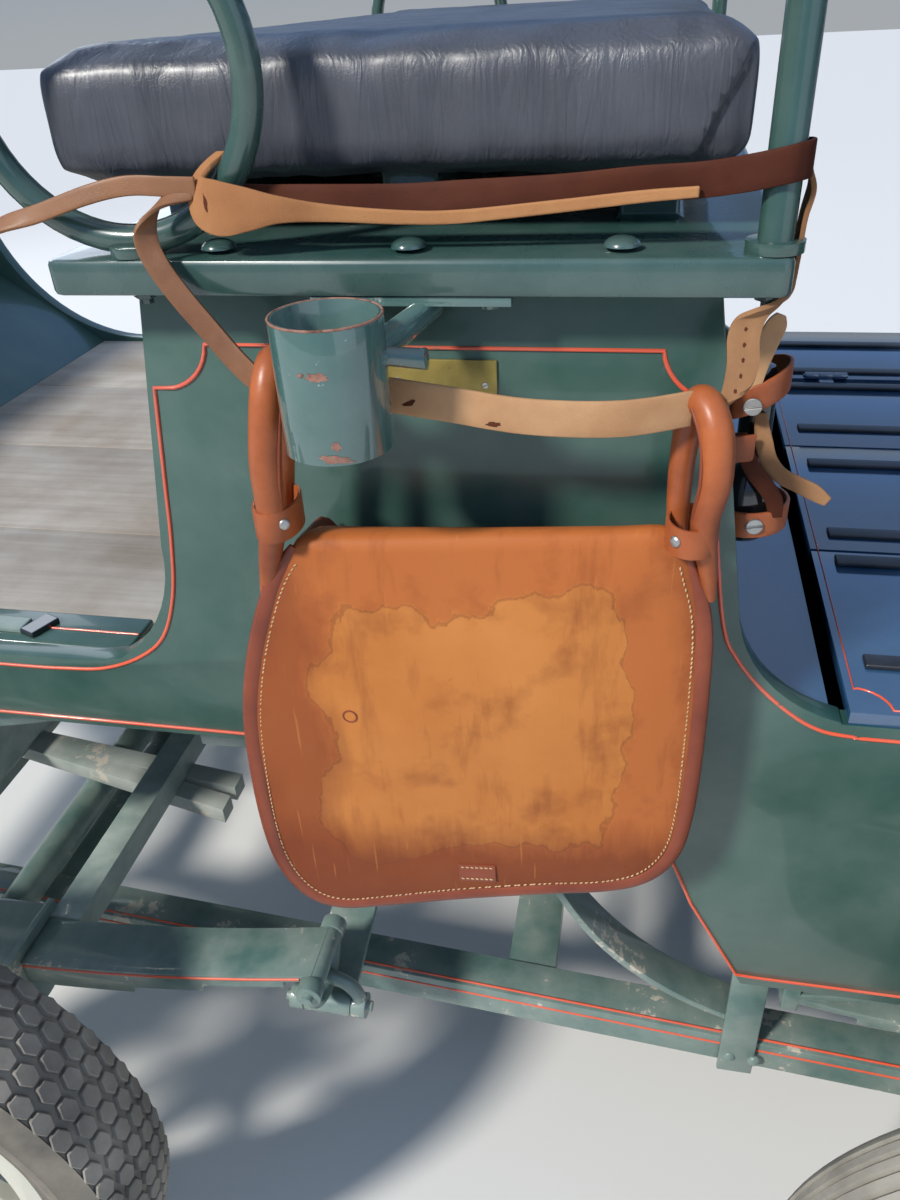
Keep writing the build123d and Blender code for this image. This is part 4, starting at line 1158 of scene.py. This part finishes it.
def makeBinding(look, rim, weights):
    # a rolled strip round the flap's edge, open along the top
    count = len(rim)
    first = next(i for i in range(count) if weights[i] < 0.5 and weights[i - 1] >= 0.5)
    order = [(first + i) % count for i in range(count) if weights[(first + i) % count] < 0.5]
    line = [tuple(rim[i] + Vector((0, -0.0005, 0))) for i in order]
    radii = [0.4, 0.8] + [1] * 20 + [0.8, 0.4]
    binding = roundLine("bagBinding", line, 0.0076, hides["bindingHide"], "carriage", radii=radii,
                        smoothed=False)
    for vertex in binding.data.vertices:
        face = bagFace(look, vertex.co.x)
        vertex.co.y = face + 0.0008 + (vertex.co.y - face) * 0.5


def makeBody(look, weights):
    bodyRings = [ringPoints(look, (0.3, 0), 0.004)]
    for inset, push in ((-0.016, 0.004), (-0.006, 0.011), (-0.003, 0.024)):
        bodyRings.append(rolled(look, ringPoints(look, (1, inset), push), weights, 0, -0.016))
    for share, inset in ((0.62, -0.007), (0.86, -0.008), (1, -0.016)):
        ring = [Vector((p.x, p.y + (look["back"] - p.y) * share, p.z)) for p in ringPoints(look, (1, inset),
                                                                                           0)]
        bodyRings.append(rolled(look, ring, weights, 0, -0.018 - 0.02 * share))
    bodyRings.append([Vector((p.x, look["back"], p.z)) for p in ringPoints(look, (0.3, 0), 0)])
    body = skin("bagBody", bodyRings)
    pick(body)
    modify(body, "SUBSURF", levels=1, render_levels=1)
    bpy.ops.object.shade_smooth()
    settle(body, "bagBody", hides["bindingHide"], "carriage")
    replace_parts(body, "tool_bag")


def makeMarks(look, flap):
    # a small sewn patch near the bottom and the mark of a ring, both laid on the flap
    patch = look["patch"]
    for mark in (patch["place"], look["ring"]):
        mark[1] = flap.ray_cast(Vector((mark[0], -0.9, mark[2])), Vector((0, 1, 0)))[1].y - 0.0002
    sewn = roundedBlock(patch["place"], patch["size"], 5.5, 0.0008)
    bpy.ops.mesh.primitive_torus_add(major_radius=0.0056, minor_radius=0.0007, major_segments=28,
                                     minor_segments=6,
                                     location=look["ring"], rotation=(math.radians(90), 0, 0))
    marks = joinPieces([sewn, bpy.context.object], "bagPatch")
    smooth(40)
    settle(marks, "bagPatch", hides["bindingHide"], "carriage")


def makeStitches(look):
    # along the binding and along the patch
    places = []
    ring = ringPoints(look, (1, -0.0145), -0.0022, steps=30)
    gone = 0
    for low, high in zip(ring, ring[1:] + ring[:1]):
        gone += (high - low).length
        if gone >= look["stitchPitch"]:
            gone -= look["stitchPitch"]
            if topShare(low + Vector((0, 0, 0.008))) < 0.4:
                places.append((low, (high - low).normalized()))
    px, py, pz = look["patch"]["place"]
    for rise in (-0.007, 0.0075):
        for step in range(-3, 4):
            places.append((Vector((px + step * 0.0042, py + step * 0.0004 - 0.0017, pz + rise)),
                           Vector((1, 0.097, 0))))
    bpy.ops.mesh.primitive_uv_sphere_add(segments=6, ring_count=4, radius=0.0017)
    stitch = bpy.context.object
    editMesh((bpy.ops.transform.resize, {"value": (0.42, 0.42, 1)}))
    copies = []
    for point, along in places:
        copy = twin(stitch)
        copy.matrix_world = (Matrix.Translation(point) @ along.to_track_quat("Z", "Y").to_matrix().to_4x4()
                             @ Matrix.Rotation(math.radians(14), 4, "X"))
        copies.append(copy)
    bpy.data.objects.remove(stitch)
    settle(joinPieces(copies, "bagStitches"), "bagStitches", hides["threadCloth"], "carriage")


def makeBag(look):
    rim = ringPoints(look, (1, -0.006), 0)
    weights = [topShare(p) for p in rim]
    flap = makeFlap(look, rim, weights)
    makeBinding(look, rim, weights)
    makeBody(look, weights)
    makeMarks(look, flap)
    makeStitches(look)


makeBag(bagLook)

# rolled handles and their collars
handleLook = {
    "left": {
        "outer": [
            (0.918, -0.6, 0.975), (0.929, -0.607, 1.01), (0.9405, -0.6145, 1.055), (0.944, -0.617, 1.1),
            (0.9495, -0.61, 1.145), (0.9515, -0.596, 1.1625), (0.9485, -0.582, 1.15), (0.941, -0.577, 1.1),
            (0.936, -0.575, 1.06), (0.933, -0.573, 1.03)
        ],
        "radii": [0.004, 0.008, 0.0105, 0.0115, 0.0115, 0.011, 0.0105, 0.01, 0.0085, 0.006],
        "seam": [
            (0.951, -0.6185, 1.065), (0.954, -0.6215, 1.09), (0.9575, -0.6185, 1.12),
            (0.961, -0.612, 1.145), (0.962, -0.6, 1.157)
        ],
        "collar": [(0.9405, -0.6005, 1.052), 0.0165, 0.024, 1.62],
    },
    "right": {
        "outer": [
            (1.2515, -0.575, 0.985), (1.2455, -0.581, 1.02), (1.2405, -0.588, 1.052),
            (1.2445, -0.592, 1.088), (1.2415, -0.588, 1.12), (1.2325, -0.574, 1.134),
            (1.2265, -0.562, 1.12), (1.2235, -0.558, 1.085), (1.2235, -0.561, 1.045),
            (1.226, -0.561, 1.015)
        ],
        "radii": [0.004, 0.0075, 0.0095, 0.011, 0.0112, 0.011, 0.01, 0.009, 0.008, 0.006],
        "seam": [
            (1.2325, -0.5925, 1.058), (1.2345, -0.597, 1.088), (1.2325, -0.593, 1.114),
            (1.2255, -0.583, 1.1325)
        ],
        "collar": [(1.2335, -0.5755, 1.04), 0.0185, 0.022, 1.22],
    },
}


def collarBand(name, centre, width, height, deep):
    bpy.ops.mesh.primitive_cylinder_add(vertices=28, radius=width, depth=height, location=centre,
                                        end_fill_type="NOTHING")
    band = bpy.context.object
    band.scale = (1, deep, 1)
    bpy.ops.object.transform_apply(location=True, rotation=True, scale=True)
    modify(band, "SOLIDIFY", thickness=0.0026)
    modify(band, "BEVEL", width=0.0008, segments=2, angle_limit=math.radians(40))
    smooth(40)
    settle(band, name, hides["handleHide"], "carriage")


for side, look in handleLook.items():
    handle = roundLine("bagHandle_" + side, look["outer"], 1, hides["handleHide"], "carriage",
                       look["radii"], sides=6)
    seam = roundLine("bagHandleSeam_" + side, look["seam"], 0.0014, hides["bindingHide"], "carriage")
    collarBand("bagCollar_" + side, *look["collar"])
print("bag hung")

studs = [((0.9515, -0.6195, 1.0535), (0.6, -1, 0.1), 0), ((1.2225, -0.593, 1.041), (-0.7, -1, 0.1), 0)]
scatter("bagStuds", domeHead(*boltLook["stud"]), studs, metals["steelBright"], "carriage")

upright = (0, 0, 1)
# straps: width, thickness, hide, then rows of middle point, way across and share of the full width
strapLook = {
    "suede": (0.024, 0.0036, "suedeHide", [
        ((0.955, -0.588, 1.136), upright), ((1.0, -0.583, 1.139), (0, 0.05, 1)),
        ((1.06, -0.592, 1.136), (0, 0.1, 1)), ((1.12, -0.594, 1.1285), (0, 0.1, 1)),
        ((1.18, -0.59, 1.127), (0, 0.1, 1)), ((1.226, -0.576, 1.13), upright)
    ]),
    "hanging": (0.016, 0.003, "strapHide", [
        ((0.897, -0.556, 1.262), (0, 0.3, 1), 0.6), ((0.878, -0.561, 1.258), (0.2, 0.9, 0.6), 0.8),
        ((0.866, -0.565, 1.247), (0.5, 0.9, 0.2)), ((0.864, -0.569, 1.234), (0.8, 0.6, 0)),
        ((0.871, -0.573, 1.219), (0.9, 0.3, 0.3)), ((0.885, -0.576, 1.199), (0.8, 0.2, 0.5)),
        ((0.904, -0.58, 1.177), (0.7, 0.1, 0.6)), ((0.925, -0.587, 1.156), (0.6, 0.1, 0.7)),
        ((0.945, -0.591, 1.14), (0.4, 0, 0.9)), ((0.957, -0.588, 1.134), upright)
    ]),
    "strand": (0.0125, 0.003, "strapHide", [
        ((0.715, -0.562, 1.226), (0, 1, 0.2)), ((0.751, -0.563, 1.243), (0, 0.8, 0.7)),
        ((0.784, -0.562, 1.251), (0, 0.4, 1)), ((0.823, -0.561, 1.262), (0, 0.3, 1)),
        ((0.852, -0.559, 1.267), (0, 0.2, 1)), ((0.88, -0.558, 1.266), (0, 0.1, 1)),
        ((0.9, -0.556, 1.265), upright)
    ]),
    "knot": (0.026, 0.0034, "knotHide", [
        ((0.914, -0.538, 1.283), (1, 0, 0), 0.25), ((0.903, -0.55, 1.272), (0.8, 0, 0.5), 0.75),
        ((0.902, -0.5585, 1.258), (0.35, 0, 0.9), 1.15), ((0.916, -0.5615, 1.2525), (0.1, 0.1, 1), 1.3),
        ((0.936, -0.5595, 1.2515), (0, 0.1, 1), 1.0), ((0.955, -0.556, 1.2505), upright, 0.65),
        ((0.985, -0.548, 1.2465), upright, 0.42), ((1.031, -0.543, 1.2425), upright, 0.34),
        ((1.07, -0.541, 1.242), upright, 0.32), ((1.135, -0.541, 1.2475), upright, 0.3),
        ((1.185, -0.542, 1.2525), upright, 0.28), ((1.22, -0.543, 1.255), upright, 0.25)
    ]),
    "band": (0.021, 0.0028, "darkStrapAndShade", [
        ((0.905, -0.535, 1.258), upright, 0.6), ((0.934, -0.533, 1.254), upright, 0.8),
        ((0.961, -0.5305, 1.251), (0, 0.2, 1)), ((1.029, -0.529, 1.25), (0, 0.2, 1)),
        ((1.07, -0.529, 1.2515), (0, 0.2, 1)), ((1.134, -0.53, 1.254), (0, 0.1, 1)),
        ((1.184, -0.531, 1.258), upright), ((1.22, -0.537, 1.2605), upright),
        ((1.247, -0.5505, 1.266), upright), ((1.2675, -0.555, 1.2705), upright),
        ((1.2755, -0.5528, 1.272), upright), ((1.2808, -0.5475, 1.2725), upright),
        ((1.2825, -0.5405, 1.2725), upright), ((1.2805, -0.5335, 1.272), upright),
        ((1.2745, -0.5282, 1.271), upright), ((1.262, -0.5275, 1.27), upright)
    ]),
    "post": (0.02, 0.003, "suedeBrown", [
        ((1.2815, -0.5345, 1.27), (0.2, 1, 0), 0.7), ((1.286, -0.532, 1.256), (0, 1, 0)),
        ((1.2835, -0.532, 1.238), (0, 1, 0)), ((1.2825, -0.533, 1.215), (0, 1, 0)),
        ((1.2822, -0.5355, 1.197), (0.2, 1, 0)), ((1.276, -0.5425, 1.1905), (0.5, 0.9, 0)),
        ((1.267, -0.5495, 1.187), (0.8, 0.6, 0)), ((1.258, -0.5525, 1.181), (1, 0.2, 0)),
        ((1.2545, -0.556, 1.17), (1, 0, 0)), ((1.2555, -0.562, 1.153), (1, 0, 0.1)),
        ((1.252, -0.568, 1.138), (0.9, 0, 0.4)), ((1.2435, -0.572, 1.127), (0.6, 0, 0.8)),
        ((1.2335, -0.573, 1.121), (0.2, 0, 1), 0.8)
    ]),
    "tail": (0.0125, 0.003, "suedeBrown", [
        ((1.279, -0.488, 1.094), (1, 0, 0.1), 0.7), ((1.2835, -0.492, 1.075), (1, 0, 0.2)),
        ((1.289, -0.495, 1.0595), (0.8, 0, 0.6)), ((1.2985, -0.498, 1.049), (0.4, 0, 1)),
        ((1.311, -0.502, 1.044), (0.3, 0, 1)), ((1.323, -0.506, 1.0395), (0.4, 0, 1)),
        ((1.333, -0.509, 1.034), (0.6, 0, 1), 0.6)
    ]),
    "tailLow": (0.013, 0.003, "darkStrapAndShade", [
        ((1.264, -0.4985, 1.082), (1, 0, 0.1)), ((1.2715, -0.501, 1.066), (1, 0, 0.2)),
        ((1.279, -0.503, 1.053), (0.8, 0, 0.5)), ((1.288, -0.503, 1.042), (0.8, 0, 0.5)),
        ((1.296, -0.501, 1.029), (1, 0, 0.2)), ((1.299, -0.498, 1.014), (1, 0, 0.1), 0.8)
    ]),
    "tongue": (0.015, 0.003, "suedeHide", [
        ((1.268, -0.4985, 1.115), (1, 0, -0.4)), ((1.272, -0.5, 1.135), (1, 0, -0.4)),
        ((1.277, -0.5, 1.152), (1, 0, -0.4)), ((1.281, -0.5, 1.163), (1, 0, -0.4), 0.9),
        ((1.283, -0.5, 1.169), (1, 0, -0.4), 0.45)
    ]),
    "backTab": (0.021, 0.003, "handleHide", [
        ((1.244, -0.5005, 1.071), upright), ((1.262, -0.5035, 1.071), upright),
        ((1.277, -0.5015, 1.072), upright)
    ]),
}


def loopRows(centre, reach, level, lean, start, end):
    # a leather loop round the flask, its ends behind the panel
    rows = []
    for i in range(11):
        a = math.radians(start + (end - start) * i / 10)
        x, y = centre[0] + reach * math.cos(a), centre[1] + reach * math.sin(a)
        rows.append(((x, y, level + lean * (x - centre[0]) / reach), (0, 0, 1)))
    return rows


strapLook["loopLow"] = (0.021, 0.003, "handleHide", [((1.236, -0.4985, 1.008), upright)]
                        + loopRows((1.2815, -0.474), 0.0285, 1.008, 0.0015, 215, 440))
strapLook["loopHigh"] = (0.021, 0.003, "handleHide", [((1.236, -0.499, 1.088), upright)]
                         + loopRows((1.2715, -0.474), 0.0265, 1.108, 0.012, 225, 430))
straps = {}
for name, (width, thick, hide, rows) in strapLook.items():
    straps[name] = flatStrap("strap_" + name, rows, width, thick, hides[hide], "carriage")
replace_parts(straps["suede"], "leather_straps")
flaskLook = {"place": (1.2785, -0.474), "profile": [
    (0.0, 0.986), (0.015, 0.9865), (0.0195, 0.991), (0.021, 1.0), (0.021, 1.022), (0.0195, 1.032),
    (0.0155, 1.041),
    (0.0095, 1.047), (0.009, 1.06), (0.0125, 1.063), (0.0125, 1.118), (0.009, 1.125), (0.0, 1.1275)]}
flaskX, flaskY = flaskLook["place"]
flaskSide = [(flaskX + r, flaskY, z) for r, z in flaskLook["profile"]]
flask = revolve("holderFlask", flaskSide, (flaskX, flaskY, 0), (0, 0, 1), 40, 0.00005, False)
smooth(40)
settle(flask, "holderFlask", paints["blackGloss"], "carriage")
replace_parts(flask, "holder_bottle")
holderScrews = [((1.2715, -0.5045, 1.1045), (-0.1, -1, 0), 12), ((1.284, -0.5045, 1.0085), (0.1, -1, 0), 8)]
scatter("holderScrews", slottedHead(*boltLook["screw"]), holderScrews, metals["steelBright"], "carriage")
print("straps buckled")


# small marks laid on a surface: chips bared to metal, and torn spots and punched holes whose dark fill is
# painted shade
def flake(name, piece, spot, size, lean, seed, material):
    random.seed(seed)
    mesh = bmesh.new()
    rows = []
    turn = math.radians(lean)
    ragged = [0.62 + 0.5 * random.random() for _ in range(18)]
    for share in (0.02, 0.5, 1.0):
        row = []
        for k in range(18):
            a = math.tau * k / 18
            u, w = size[0] * share * ragged[k] * math.cos(a), size[1] * share * ragged[k] * math.sin(a)
            x = spot[0] + u * math.cos(turn) - w * math.sin(turn)
            z = spot[1] + u * math.sin(turn) + w * math.cos(turn)
            hit, place, normal, _ = piece.ray_cast(Vector((x, -0.9, z)), Vector((0, 1, 0)))
            if not hit:
                mesh.free()
                return None
            row.append(mesh.verts.new(place + normal * 0.00022))
        rows.append(row)
    mesh.faces.new(rows[0])
    ringFaces(mesh, rows)
    bmesh.ops.recalc_face_normals(mesh, faces=mesh.faces)
    return settle(meshPiece(name, mesh), name, material, "carriage")


can = eased["cup_holder"]
rust, openingShade = metals["rustedSteel"], hides["darkStrapAndShade"]
markLook = [
    ("canChip", can, (1.0065, 1.178), (0.0075, 0.0032), -4, 3, rust),
    ("canChipSmall", can, (0.9965, 1.1785), (0.0022, 0.0016), 0, 5, rust),
    ("canRustLow", can, (1.011, 1.1258), (0.0125, 0.0032), -8, 7, rust),
    ("canRustDrop", can, (1.013, 1.134), (0.003, 0.0035), 20, 11, rust),
    # dark flakes in the tears and in the knot's slit: painted shade
    ("tornLeft", straps["suede"], (1.0415, 1.1345), (0.0062, 0.002), 20, 13, openingShade),
    ("tornRight", straps["suede"], (1.0985, 1.1235), (0.0055, 0.0018), 0, 17, openingShade),
    ("tornKnot", straps["knot"], (0.9075, 1.2555), (0.0016, 0.0062), 4, 19, openingShade),
]
# the post strap's punched holes: dark flakes of painted shade
for i, z in enumerate((1.1755, 1.1665, 1.1575, 1.1485, 1.1395)):
    hole = (1.2552 - max(0, 1.15 - z) * 0.3, z)
    markLook.append(("postHole" + str(i), straps["post"], hole, (0.0011, 0.0016), 0, 23 + i, openingShade))
for mark in markLook:
    flake(*mark)
rimLine = [(x, y, 1.2047) for x, y in arcPoints(canLook["axis"], 0.0347, 0, 350, 35)]
roundLine("canRim", rimLine, 0.0009, rust, "carriage", smoothed=False, sides=2, closed=True)
plateScrews = [((1.0815, -0.522, 1.1225), (0, -1, 0), 20), ((1.0165, -0.522, 1.1255), (0, -1, 0), 70)]
scatter("plateScrews", slottedHead(*boltLook["plate"]), plateScrews, metals["steelBright"], "carriage")
perchBolts = []
for side in (-1, 1):
    perchBolts += [((x, side * (perchY(x) + 0.031), 0.29), (0, side, 0), 0) for x in (1.343, 1.371)]
scatter("perchBolts", domeHead(*boltLook["perch"]), perchBolts, paints["gearGreen"], "carriage")
# a flat iron on the near cap board, with a black socket beside it and two bolts
iron = roundedBlock((0.5545, -0.4735, 0.8385), (0.07, 0.021, 0.006), -1, 0.0016)
settle(iron, "capIron", paints["frameGreen"], "carriage")
socket = roundedBlock((0.6035, -0.473, 0.8385), (0.02, 0.034, 0.007), -22, 0.0016)
settle(socket, "capSocket", paints["blackGloss"], "carriage")
capBolts = [((0.53, -0.495, 0.836), (0, 0, 1), 0), ((0.525, -0.458, 0.836), (0, 0, 1), 0)]
scatter("capBolts", domeHead(*boltLook["cap"]), capBolts, paints["frameGreen"], "carriage")
print("small marks laid")
